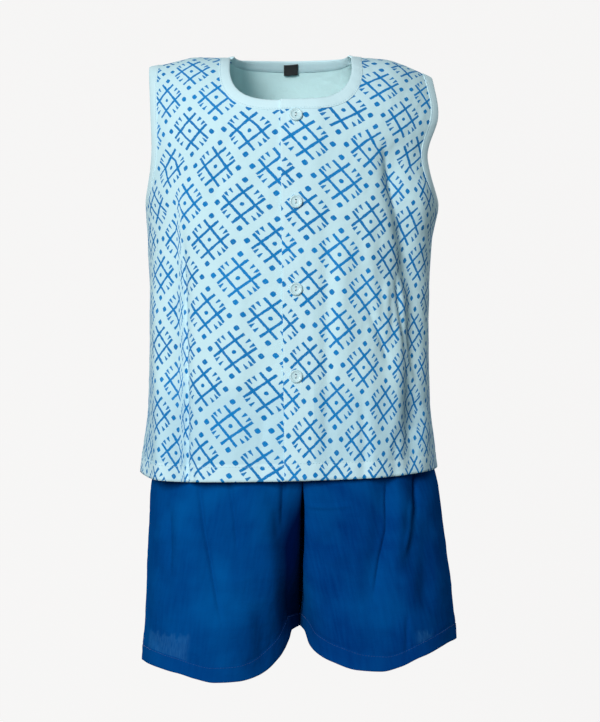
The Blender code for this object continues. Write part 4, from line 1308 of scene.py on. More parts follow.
@dataclass(frozen=True)
class Stitching:
    """A row of sewing stitches, each a short thread that dives at its ends.

    Sizes are in metres. bead holds, from end to end of a stitch, shares of its length, and
    shares of its radius for its thickness and its height over the cloth.
    """

    pitch: float = 0.0026
    length: float = 0.0020
    radius: float = 0.00021
    lift: float = 0.00012
    sides: int = 6
    bead: tuple[Tone, ...] = ((-0.5, 0.35, -1.3), (-0.36, 0.85, -0.2), (0.0, 1.0, 0.25),
                              (0.36, 0.85, -0.2), (0.5, 0.35, -1.3))

    def beads(self, line: Array, normals: Array) -> Line:
        """Mesh data of the stitches along a line.

        Args:
            line: Points along the seam.
            normals: Outward directions at those points.

        Returns:
            Corners and four-cornered faces.
        """
        lengths = run_lengths(line)
        count = max(1, int(lengths[-1] / self.pitch))
        middles = (np.arange(count) + 0.5) * lengths[-1] / count
        shares, sizes, sinks = np.array(self.bead).T
        turn = np.arange(self.sides) * math.tau / self.sides
        cos, sin = np.cos(turn)[None, :, None], np.sin(turn)[None, :, None]
        corners = []
        for middle in middles:
            marks = middle + shares * self.length
            centre = read_along(marks, lengths, line)
            out = unit(read_along(marks, lengths, normals))
            along = unit(centre[-1] - centre[0])
            centre = centre + out * (self.lift + sinks * self.radius)[:, None]
            across = np.cross(out, along)
            ring = cos * out[:, None] + sin * across[:, None]
            corners.append(centre[:, None] + sizes[:, None, None] * self.radius * ring)
        starts = np.arange(count)[:, None, None] * len(shares) * self.sides
        faces = starts + quads(len(shares), self.sides, ring_columns=True)
        return np.concatenate(corners).reshape(-1, 3), faces.reshape(-1, 4)

    def sew(self, name: str, rows: list[Line], look: Material) -> Object:
        """One object for several rows of stitches.

        Args:
            name: The object's name.
            rows: Each row's points and outward directions.
            look: The thread's material.

        Returns:
            The new object.
        """
        corners, faces, count = [], [], 0
        for row in rows:
            row_corners, row_faces = self.beads(*row)
            corners.append(row_corners)
            faces.append(row_faces + count)
            count += len(row_corners)
        return mesh_object(name, np.concatenate(corners), np.concatenate(faces), [look])


def settle(piece: Object, slot: str, *nodes: str) -> Object:
    """Make a piece ride on the set and stand for its nodes."""
    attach(piece, "root")
    if nodes:
        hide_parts(*nodes)
    LOG.info("%s: %d faces", piece.name, len(piece.data.polygons))
    return piece


@dataclass
class PrintedTop:
    """The sleeveless top: two lapped fronts, a back, their hems and sewing."""

    form: TopForm
    finishes: Finishes
    binding_width: float = 0.0095
    tuck: float = 0.0016
    hem_depth: float = 0.0150
    placket: float = 0.0255
    over_top_x: float = -0.0124
    over_low_x: float = -0.0086
    under_x: float = 0.0130
    lift: float = 0.0019
    lift_start: float = 0.0140
    lift_span: float = 0.0210
    calm: float = 0.0300
    outside: float = 0.00050
    inside: float = 0.00020
    hem_inside: float = 0.00110
    columns: int = 108
    seam_rows: int = 108
    arm_rows: int = 84
    neck_rows_front: int = 60
    neck_rows_back: int = 48
    underarm_z: float = -0.1500
    start_fall: float = 0.0030
    front_flat: Pair = (0.198, 0.392)
    back_flat: Pair = (0.362, 0.394)
    creases: tuple[Crease, ...] = pressed(
        Face.FRONT,
        ((-1000, -1250, -980, -2500, -940, -4600), 75, -66),
        ((-1180, -1500, -1160, -2500, -1120, -4600), 85, 56),
        ((780, -700, 980, -1500, 1010, -2300), 120, -62), ((950, -1680, 770, -2970), 110, -26),
        ((1080, -1650, 1040, -2600, 1000, -3800), 90, -66),
        ((1160, -1500, 1140, -2500, 1120, -4000), 60, 18),
        ((900, -1500, 910, -2500, 870, -3900), 90, 30), ((400, -1350, 440, -3050), 120, 20),
        ((610, -2350, 730, -4300), 120, 22), ((-300, -2450, -360, -4300), 140, -18),
        ((-990, -1500, -975, -2440, -955, -3000), 36, -20, 0.5),
        ((-965, -2500, -940, -4400), 30, -26, 0.6), ((-880, -3500, -868, -4400), 30, -20, 0.5),
        ((-790, -2900, -780, -4300), 45, 14),
        ((-1150, -1700, -1130, -2600, -1060, -3300), 50, -14, 0.4),
        ((780, -780, 870, -1250, 990, -1750, 1060, -2100), 90, -40, 0.3),
        ((760, -780, 840, -1150, 930, -1500), 34, -16, 0.5), ((1120, -1050, 1130, -1650), 60, 12),
        ((796, -1950, 796, -2620), 36, 18), ((880, -1900, 925, -2350, 990, -2750), 34, -30, 0.5),
        ((930, -2400, 1005, -2680, 1085, -3000), 34, 22), ((1080, -3000, 1110, -3350), 48, -26),
        ((600, -2180, 720, -2460, 830, -2750), 32, -17, 0.5), ((388, -1550, 387, -2750), 70, 11),
        ((276, -1400, 270, -2600, 275, -3800), 55, -13),
        ((647, -1300, 647, -1880, 778, -2680), 55, 14),
        ((560, -2850, 600, -3400, 580, -4300), 48, -16, 0.5),
        ((920, -3100, 860, -3500, 870, -4200), 50, -18, 0.4),
        ((-520, -550, -640, -1050, -700, -1700), 80, -13, 0.3),
        ((-460, -1850, -500, -3050), 80, 11),
        ((-250, -3000, -290, -3600, -280, -4300), 50, -12, 0.4),
    ) + pressed(
        Face.BACK,
        ((-700, -950, -600, -4300), 140, -35), ((-100, -1600, -60, -4300), 150, 22),
        ((560, -900, 660, -4300), 140, -35), ((1000, -1450, 920, -3450), 110, 22),
        ((-400, -600, -520, -1800, -470, -3000), 60, -12, 0.4),
        ((340, -750, 420, -2000, 380, -3300), 60, -12, 0.4),
        ((-920, -1500, -850, -2400, -890, -3300), 48, -14, 0.5),
        ((800, -1700, 740, -2500, 800, -3000), 48, -13, 0.5),
        ((100, -2400, 140, -4200), 50, -10, 0.5), ((-85, -200, -80, -750), 16, -6, 0.3),
    )
    waves: Unevenness = Unevenness(0.0150, (0.00032, 0.034), (0.00012, 0.011), (0.00022, 0.0075),
                                   0.25, 0.00030, (0.00100, 0.0022))
    seam_calm: float = 0.0120
    sewn_above: float = 0.0012
    sewn_band: float = 0.0017
    sewn_apart: float = 0.0004
    pleats: tuple[Pleat, ...] = (
        Pleat(Side.RIGHT, ((-0.1010, -0.112), (-0.0985, -0.250), (-0.0955, -0.450)), 0.015, 0.006),
    )
    left_print: BlockPrint = BlockPrint(columns=(-0.214, 1.865, 0.051, -0.245, 0.532),
                                        rows=(-1.885, 0.179, 1.556, 0.053, -0.137))
    right_print: BlockPrint = BlockPrint(columns=(0.312, 1.662, -0.091, 0.003, -0.468),
                                         rows=(-1.433, 0.138, 1.539, -0.067, 0.061))
    back_print: BlockPrint = BlockPrint(columns=(0.130, 1.860, 0.040, -0.020, 0.0),
                                        rows=(-1.640, -0.090, 1.580, 0.0, 0.0))
    sheets: dict[str, Sheet] = field(default_factory=dict)
    shape: tuple[int, int] = (0, 0)

    def seam_line(self, line: Line) -> Line:
        """A seam from the hem to the underarm at this top's row places."""
        return self.form.even(line, self.seam_rows)

    def lay_rows(self, outer: Line, inner: Line, side: Side, flip: bool) -> Sheet:
        """The sheet between an outer and an inner line.

        Rows are level below the shoulders' roll, follow the hem at the bottom, and fan up to
        the shoulder seam.

        Args:
            outer: The side seam and the armhole.
            inner: The free edge or centre line and the neck.
            side: The wearer's side.
            flip: Whether the faces turn the other way.

        Returns:
            The flat-mapped sheet.
        """
        form = self.form
        share = np.linspace(0.0, 1.0, form.dense)[:, None]
        angle = between(outer[0], inner[0], share)
        fanned = between(outer[1], inner[1], share)
        height = between(form.place(*outer)[:, 2], form.place(*inner)[:, 2], share)
        level_hem = between(form.hem_height(outer[0]), form.hem_height(inner[0]), share)
        dip = form.hem_height(angle) - level_hem
        height = height + dip * np.linspace(1.0, 0.0, len(outer[0])) ** 2
        fall = between(fanned, form.hang(angle, height), ease((fanned - 1.0) / 0.7))
        dense = form.place(angle, fall)
        points = np.empty((len(outer[0]), self.columns + 1, 3))
        self.shape = points.shape[:2]
        grid_angle, grid_fall = np.empty(self.shape), np.empty(self.shape)
        flat, trim = np.empty((*self.shape, 2)), np.empty((*self.shape, 2))
        for row in range(len(points)):
            marks, points[row], grid_angle[row], grid_fall[row] = evened(
                dense[:, row], self.columns, angle[:, row], fall[:, row])
            trim[row, :, 1] = marks[-1] - marks
            flat[row, :, 0] = dense[-1, row, 0] + side.value * trim[row, :, 1]
        flat[:, :, 1] = form.flat_height(grid_angle, grid_fall)
        trim[:, :, 0] = points[:, :, 2] - points[:1, :, 2]
        return Sheet.grid(points, flat, trim, flip)

    def half(self, side: Side, face: Face, inner_angle: Callable[[Array], Array],
             neck: Line, neck_rows: int, flip: bool) -> Sheet:
        """A front or one half of the back.

        Args:
            side: The wearer's side.
            face: The front or the back.
            inner_angle: Angles of the free edge or centre line from its heights.
            neck: The neck line from the middle to the shoulder.
            neck_rows: How many rows end on the neck.
            flip: Whether the faces turn the other way.

        Returns:
            The flat-mapped sheet.
        """
        form = self.form
        base = 0.0 if side is Side.LEFT else math.pi
        arm = form.even(form.armhole(side, face, self.binding_width - self.tuck), self.arm_rows)
        under_z = float(form.place(arm[0][:1], arm[1][:1])[0, 2])
        seam = form.upright(lambda z: np.full(len(z), base), float(form.hem_height(base)), under_z)
        outer = joined(self.seam_line(seam), arm)
        if face is Face.BACK and side is Side.RIGHT:
            outer = (np.where(outer[0] > 0.0, outer[0] - math.tau, outer[0]), outer[1])
        hem_z = float(form.hem_height(face.value * QUARTER))
        neck_z = float(form.place(neck[0][:1], neck[1][:1])[0, 2])
        low = self.seam_line(form.upright(inner_angle, hem_z, self.underarm_z))
        high = form.even(form.upright(inner_angle, self.underarm_z, neck_z),
                         self.arm_rows - neck_rows)
        inner = joined(low, high, form.even(neck, neck_rows))
        outer = (outer[0], np.maximum(outer[1], self.start_fall))
        inner = (inner[0], np.maximum(inner[1], self.start_fall))
        return self.lay_rows(outer, inner, side, flip)

    def neck_stretch(self, side: Side, face: Face, edge_x: float) -> Line:
        """The panel's neck line from its inner edge to the shoulder."""
        line = self.form.neck(face, self.binding_width - self.tuck)
        if side is Side.LEFT:
            return self.form.clipped(line, edge_x, 1.0)
        clipped = self.form.clipped(line, -1.0, edge_x)
        return clipped[0][::-1], clipped[1][::-1]

    def front_sheet(self, side: Side) -> Sheet:
        """One front, whose free edge lies past the middle."""
        low_x, top_x = self.under_x, self.under_x
        if side is Side.LEFT:
            low_x, top_x = self.over_low_x, self.over_top_x
        hem_z = float(self.form.hem_height(QUARTER))
        top_z = -self.form.neck_drop_front - self.binding_width

        def edge_angle(z: Array) -> Array:
            """Angles of the free edge from its heights."""
            share = (z - hem_z) / (top_z - hem_z)
            return self.form.angle_across(low_x + (top_x - low_x) * share, z, Face.FRONT)

        neck = self.neck_stretch(side, Face.FRONT, top_x)
        return self.half(side, Face.FRONT, edge_angle, neck, self.neck_rows_front,
                         side is Side.LEFT)

    def back_sheet(self) -> Sheet:
        """The back, made as two halves that are one cloth along the centre line."""
        middle = self.form.neck_x

        def centre_angle(z: Array) -> Array:
            """Angles of the centre line from its heights."""
            return self.form.angle_across(np.full(len(z), middle), z, Face.BACK)

        left, right = (self.half(side, Face.BACK, centre_angle,
                                 self.neck_stretch(side, Face.BACK, middle), self.neck_rows_back,
                                 side is Side.RIGHT) for side in Side)
        return left.with_other(right)

    def over_lift(self, points: Array) -> Array:
        """How far the upper front is raised where it lies over the lower one."""
        return self.lift * (1.0 - ease((points[:, 0] - self.lift_start) / self.lift_span))

    def wrinkled(self, sheet: Sheet, seed: int) -> Sheet:
        """The sheet with its creases, seam tucks, hem line and small unevenness."""
        depth = sheet.points[:, 1]
        broad_share = ease(np.abs(depth) / self.seam_calm)
        push = crease_push(sheet.points, self.creases, self.calm)
        return sheet.pushed(push + self.waves.push(sheet, seed, broad_share, 1.0, depth))

    def smoothed_out(self, sheet: Sheet, side: Side) -> Sheet:
        """A half's sheet with its flat places measured along its creased rows."""
        rows = sheet.points.reshape(*self.shape, 3)[:, ::-1]
        steps = np.linalg.norm(np.diff(rows, axis=1), axis=2)
        run = np.pad(np.cumsum(steps, axis=1), ((0, 0), (1, 0)))[:, ::-1]
        for pleat in self.pleats:
            if pleat.side is side:
                run = run + pleat.swallowed(sheet.points).reshape(self.shape)
        flat = sheet.flat.reshape(*self.shape, 2).copy()
        flat[:, :, 0] = flat[:, -1:, 0] + side.value * run
        return replace(sheet, flat=flat.reshape(-1, 2))

    def dress(self, name: str, sheet: Sheet, block: BlockPrint, placket: float,
              flat: Pair, node: str) -> Object:
        """Give a sheet its shell and materials.

        Args:
            name: The piece's name.
            sheet: The creased sheet.
            block: How the print falls on it.
            placket: Width of the double cloth along the free edge.
            flat: Width and length of the cut; not used.
            node: The node that the piece stands for.

        Returns:
            The piece.
        """
        outer = self.finishes.printed(name + "_print", block, self.hem_depth / MM, placket / MM)
        # the inside material's colour holds painted light for the light that comes through the thin
        # cloth
        deep = tuple(part * 0.9 for part in self.finishes.aqua_inside)
        inner = self.finishes.plain(name + "_inside", self.finishes.aqua_inside, deep)
        piece = sheet.hemmed(name, self, [outer, inner])
        self.sheets[name] = sheet
        return settle(piece, "aqua_print", node)

    def build(self) -> None:
        """Build the fronts and the back."""
        left = self.wrinkled(self.front_sheet(Side.LEFT), 3)
        left = self.smoothed_out(left.pushed(self.over_lift(left.points)), Side.LEFT)
        self.dress("printed_front_left", left, self.left_print, self.placket, self.front_flat,
                   "top_front_left")
        right = self.smoothed_out(self.wrinkled(self.front_sheet(Side.RIGHT), 7), Side.RIGHT)
        self.dress("printed_front_right", right, self.right_print, 0.0, self.front_flat,
                   "top_front_right")
        back = self.wrinkled(self.back_sheet(), 11)
        self.dress("printed_back", back, self.back_print, 0.0, self.back_flat, "top_back")

    def sew(self) -> None:
        """Sew the hems from their rows of points."""
        rows = []
        for sheet in self.sheets.values():
            normals = sheet.normals()
            band = np.abs(sheet.trim[:, 0] - self.hem_depth + self.sewn_above) < self.sewn_band
            order = np.argsort(sheet.flat[band, 0])
            apart = np.diff(sheet.flat[band, 0][order]) > self.sewn_apart
            keep = np.concatenate([[True], apart])
            rows.append(((sheet.points + normals * self.outside)[band][order][keep],
                         normals[band][order][keep]))
        look = self.finishes.thread(Spool.AQUA)
        settle(Stitching().sew("top_hem_stitching", rows, look), "aqua_binding")


@dataclass
class Binding:
    """Plain bias tape folded round an open edge and sewn down.

    lanes holds shares of the tape's width from the sewn edge to the fold, and heights over
    the cloth in millimetres.
    """

    form: TopForm
    finishes: Finishes
    top: PrintedTop
    width: float = 0.0095
    lanes_out: tuple[Pair, ...] = (
        (1.00, 0.45), (0.985, 0.85), (0.93, 1.00), (0.86, 0.78), (0.80, 1.00), (0.60, 1.12),
        (0.40, 1.12), (0.20, 1.05), (0.07, 0.80), (0.00, 0.30),
    )
    lanes_in: tuple[Pair, ...] = (
        (0.00, -0.25), (0.08, -0.70), (0.30, -0.85), (0.60, -0.85), (0.90, -0.75), (0.97, -0.30),
    )
    sewn_share: float = 0.86
    wave: float = 0.016
    waviness: float = 0.10
    arm_flat: Pair = (0.335, 0.0108)
    neck_flat: Pair = (0.410, 0.0108)
    arm_steps: int = 150
    neck_steps_front: int = 90
    neck_steps_back: int = 70

    def tape(self, name: str, near: Array, far: Array, closed: bool, lift: Array,
             seed: int) -> tuple[Object, Array, Array]:
        """A folded tape between the open edge and the sewn edge.

        Args:
            name: The piece's name.
            near: Points along the open edge.
            far: Points along the sewn edge.
            closed: Whether the tape is a ring.
            lift: How far each step is raised over what lies below.
            seed: Picks its unevenness.

        Returns:
            The piece, its sewing line and the outward directions there.
        """
        steps = len(near)
        pair = np.stack([near, far], axis=1)
        if closed:
            pair = np.concatenate([pair, pair[:1]])
        blank = np.zeros((*pair.shape[:2], 2))
        normals = Sheet.grid(pair, blank, blank, True).normals().reshape(-1, 2, 3)
        if closed:
            normals[0] = unit(normals[0] + normals[-1])
            normals = normals[:-1]
        normals = normals * np.sign((normals[:, :, 1] * near[:, None, 1]).sum())
        run = run_lengths(near * 0.5 + far * 0.5)
        wavy = soft_noise(np.stack([run, run * 0.0], axis=1), self.wave, seed)
        lanes = [*self.lanes_out, *self.lanes_in]
        count = len(lanes)
        corners, flat = np.empty((steps, count, 3)), np.empty((steps, count, 2))
        for lane, (share, height) in enumerate(lanes):
            tall = (height + self.waviness * wavy * (height > 0.5)) * MM
            out = unit(between(normals[:, 0], normals[:, 1], share))
            corners[:, lane] = between(near, far, share) + out * (tall + lift)[:, None]
            flat[:, lane] = np.stack([run, np.full(steps, share * self.width)], axis=1)
        faces = quads(steps, count, closed, True)[:, [0, 3, 2, 1]].tolist()
        if not closed:
            last = range((steps - 1) * count, steps * count)
            faces += [list(range(count)), list(last)[::-1]]
        # the tape's colour is partly painted rim light, lighter than the aqua ground
        look = self.finishes.plain(name + "_cotton", self.finishes.binding_aqua,
                                   self.finishes.aqua_deep, 0.0003)
        piece = mesh_object(name, corners.reshape(-1, 3), faces, [look])
        self.face_out(piece)
        loops = np.array([loop.vertex_index for loop in piece.data.loops])
        add_map(piece, "cloth", flat.reshape(-1, 2)[loops])
        sewn = [share for share, _ in lanes].index(self.sewn_share)
        return piece, corners[:, sewn], normals[:, 1]

    @staticmethod
    def face_out(piece: Object) -> None:
        """Turn a closed mesh's faces outward."""
        shape = bmesh.new()
        shape.from_mesh(piece.data)
        bmesh.ops.recalc_face_normals(shape, faces=shape.faces)
        shape.to_mesh(piece.data)
        shape.free()
        piece.data.shade_smooth()

    def creased(self, points: Array) -> Array:
        """Points of a line moved as the top's creases move the cloth beside them."""
        push = crease_push(points, self.top.creases, self.top.calm)
        return points + unit(points * np.array([1.0, 1.0, 0.0])) * push[:, None]

    def arm_line(self, side: Side, width: float) -> Array:
        """An armhole's closed line: underarm, front, shoulder tip, back."""
        form = self.form
        front, back = (form.place(*form.even(form.armhole(side, face, width), self.arm_steps))
                       for face in Face)
        return self.creased(np.concatenate([front, back[-2:0:-1]]))

    def neck_line(self, width: float) -> Array:
        """The neck's line from the lower front's edge round the back to the upper front's edge."""
        form = self.form
        front, back = form.neck(Face.FRONT, width), form.neck(Face.BACK, width)
        stretches = (
            form.even(form.clipped(front, -1.0, self.top.under_x), self.neck_steps_front),
            form.even(form.clipped(back, -1.0, form.neck_x), self.neck_steps_back),
            form.even(form.clipped(back, form.neck_x, 1.0), self.neck_steps_back),
            form.even(form.clipped(front, self.top.over_top_x, 1.0), self.neck_steps_front),
        )
        points = [form.place(*stretch) for stretch in stretches]
        points[0], points[3] = points[0][::-1], points[3][::-1]
        return self.creased(np.concatenate([points[0]] + [stretch[1:] for stretch in points[1:]]))

    def build(self) -> None:
        """Build the neck's and the armholes' bindings with their sewing."""
        rows = []
        for side in Side:
            near, far = self.arm_line(side, 0.0), self.arm_line(side, self.width)
            end = side.name.lower()
            piece, line, out = self.tape("armhole_tape_" + end, near, far, True,
                                         np.zeros(len(near)), 21 + side.value)
            settle(piece, "aqua_binding", "armhole_binding_" + end)
            rows.append((np.concatenate([line, line[:1]]), np.concatenate([out, out[:1]])))
        near, far = self.neck_line(0.0), self.neck_line(self.width)
        past_back = np.arange(len(near)) > self.neck_steps_front + self.neck_steps_back
        lift = np.where(past_back & (near[:, 1] < 0.0), self.top.over_lift(near), 0.0)
        piece, line, out = self.tape("neck_tape", near, far, False, lift, 31)
        settle(piece, "aqua_binding", "neck_binding")
        rows.append((line, out))
        stitches = Stitching(pitch=0.0024, length=0.0018, radius=0.00017)
        settle(stitches.sew("binding_stitching", rows, self.finishes.thread(Spool.AQUA)),
               "aqua_binding")


@dataclass
class Buttons:
    """The front's four shell buttons with the thread between their holes.

    profile holds radii and heights from the back round to the face, in hundredths of a
    millimetre.
    """

    form: TopForm
    finishes: Finishes
    top: PrintedTop
    x: float = 0.0010
    top_z: float = -0.0602
    pitch: float = 0.0746
    count: int = 4
    sides: int = 48
    hole_radius: float = 0.00078
    hole_offset: float = 0.0014
    seat: float = 0.00070
    strand_apart: float = 0.00028
    strand_z: float = 0.00172
    strand_bow: float = 0.00022
    strand_dive: float = 0.0009
    strand_flat: float = 0.86
    strand_past: float = 0.0001
    probe: float = 1e-3
    profile: tuple[tuple[int, int], ...] = (
        (440, 0), (520, 25), (562, 75), (570, 125), (558, 175), (525, 215), (480, 232),
        (440, 228), (405, 205), (375, 175), (330, 162), (250, 158),
    )

    def seat_at(self, z: float) -> tuple[Array, Array, Array]:
        """A place on the upper front, and the outward and upward directions there."""
        form, step = self.form, self.probe
        x, z = np.array([self.x]), np.array([z])
        angle = form.angle_across(x, z, Face.FRONT)
        fall = form.fall_at(angle, x, z)
        here = form.place(angle, fall)
        raised = crease_push(here, self.top.creases, self.top.calm) + self.top.over_lift(here)
        here = here[0] + np.array([0.0, -1.0, 0.0]) * raised
        upward = (form.place(angle, fall - step) - form.place(angle, fall + step))[0]
        across = (form.place(angle - step, fall) - form.place(angle + step, fall))[0]
        outward = unit(np.cross(across, upward))
        return here + outward * self.seat, outward, unit(upward)

    def blank(self) -> bpy.types.Mesh:
        """A button's mesh with its two holes cut, face up, back on z = 0."""
        shape, pins = bmesh.new(), bmesh.new()
        turns = np.arange(self.sides) * math.tau / self.sides
        rings = [[shape.verts.new((radius * math.cos(turn), radius * math.sin(turn), height))
                  for turn in turns] for radius, height in np.array(self.profile) / 1e5]
        for lower, upper in zip(rings, rings[1:]):
            for number in range(self.sides):
                after = (number + 1) % self.sides
                shape.faces.new((lower[number], lower[after], upper[after], upper[number]))
        shape.faces.new(rings[-1])
        shape.faces.new(rings[0][::-1])
        for way in (-1.0, 1.0):
            pin = bmesh.ops.create_cone(pins, cap_ends=True, segments=20, radius1=self.hole_radius,
                                        radius2=self.hole_radius, depth=0.012)
            bmesh.ops.translate(pins, verts=pin["verts"], vec=(0.0, way * self.hole_offset, 0.0))
        items = []
        for name, part in (("button_blank", shape), ("button_pins", pins)):
            mesh = bpy.data.meshes.new(name)
            part.to_mesh(mesh)
            part.free()
            items.append(placed(name, mesh))
        body, cutter = items
        cut = body.modifiers.new("holes", "BOOLEAN")
        cut.operation = "DIFFERENCE"
        cut.solver = "EXACT"
        cut.object = cutter
        scene = bpy.context.evaluated_depsgraph_get()
        done = bpy.data.meshes.new_from_object(body.evaluated_get(scene))
        for item in items:
            bpy.data.objects.remove(item, do_unlink=True)
        return done

    def thread_line(self, place: Array, outward: Array, upward: Array) -> list[Line]:
        """Strands of thread from hole to hole, side by side."""
        across = np.cross(upward, outward)
        t = np.linspace(-1.0, 1.0, 9)
        dive = np.maximum(np.abs(t) - self.strand_flat, 0.0) / (1.0 - self.strand_flat)
        lift = self.strand_z + self.strand_bow * (1.0 - t**2) - self.strand_dive * dive
        reach = t * (self.hole_offset + self.strand_past)
        line = place + np.outer(reach, upward) + np.outer(lift, outward)
        out = np.tile(outward, (len(t), 1))
        return [(line + across * off, out) for off in (-self.strand_apart, 0.0, self.strand_apart)]

    def build(self) -> None:
        """Build the buttons and their thread."""
        cut = self.blank()
        local = np.array([tuple(corner.co) for corner in cut.vertices])
        faces = [tuple(polygon.vertices) for polygon in cut.polygons]
        look = self.finishes.pearl()
        rows = []
        for number in range(self.count):
            place, outward, upward = self.seat_at(self.top_z - number * self.pitch)
            corners = place + local @ np.stack([np.cross(upward, outward), upward, outward])
            piece = mesh_object(f"shell_button_{number + 1}", corners, faces, [look])
            piece.data.set_sharp_from_angle(angle=math.radians(55.0))
            settle(piece, "pearl_button", f"button_{number + 1}")
            rows += self.thread_line(place, outward, upward)
        strand = Stitching(pitch=0.0040, length=0.0030, radius=0.00020, lift=0.0)
        settle(strand.sew("button_thread", rows, self.finishes.thread(Spool.PALE)), "pearl_button")


@dataclass
class Label:
    """The bare woven label inside the back neck."""

    form: TopForm
    finishes: Finishes
    x: float = -0.0040
    top_z: float = 0.0048
    width: float = 0.0134
    height: float = 0.0090
    tilt: float = 0.07
    cut_length: float = 0.0130
    inward: float = 0.0021
    thick: float = 0.0004
    bow: float = 0.0004
    columns: int = 20
    rows: int = 16

    def build(self) -> None:
        """Build the label and the stitches at its two ends."""
        x = np.linspace(self.x - self.width / 2, self.x + self.width / 2, self.columns + 1)
        z = np.linspace(self.top_z, self.top_z - self.height, self.rows + 1)
        across, height = np.meshgrid(x, z)
        height = height + (across - self.x) * self.tilt
        flat = np.stack([across, height], axis=-1)
        x, z = flat.reshape(-1, 2).T
        angle = self.form.angle_across(x, z, Face.BACK)
        points = self.form.place(angle, self.form.fall_at(angle, x, z))
        sheet = Sheet.grid(points.reshape(*across.shape, 3), flat, np.zeros_like(flat), False)
        bow = self.bow * np.cos((x - self.x) / self.width * math.pi)
        inner = sheet.pushed(-(self.inward + bow))
        half = self.thick / 2
        piece = inner.shell("bare_label", half, half, [self.finishes.tape()])
        settle(piece, "label_tape", "label")
        normals = inner.normals().reshape(*across.shape, 3)
        grid = inner.points.reshape(normals.shape) - normals * half
        rows = [(grid[:, column], -normals[:, column]) for column in (1, -2)]
        stitches = Stitching(pitch=0.0015, length=0.0011, radius=0.00014)
        settle(stitches.sew("label_stitching", rows, self.finishes.thread(Spool.BLACK)),
               "label_tape")


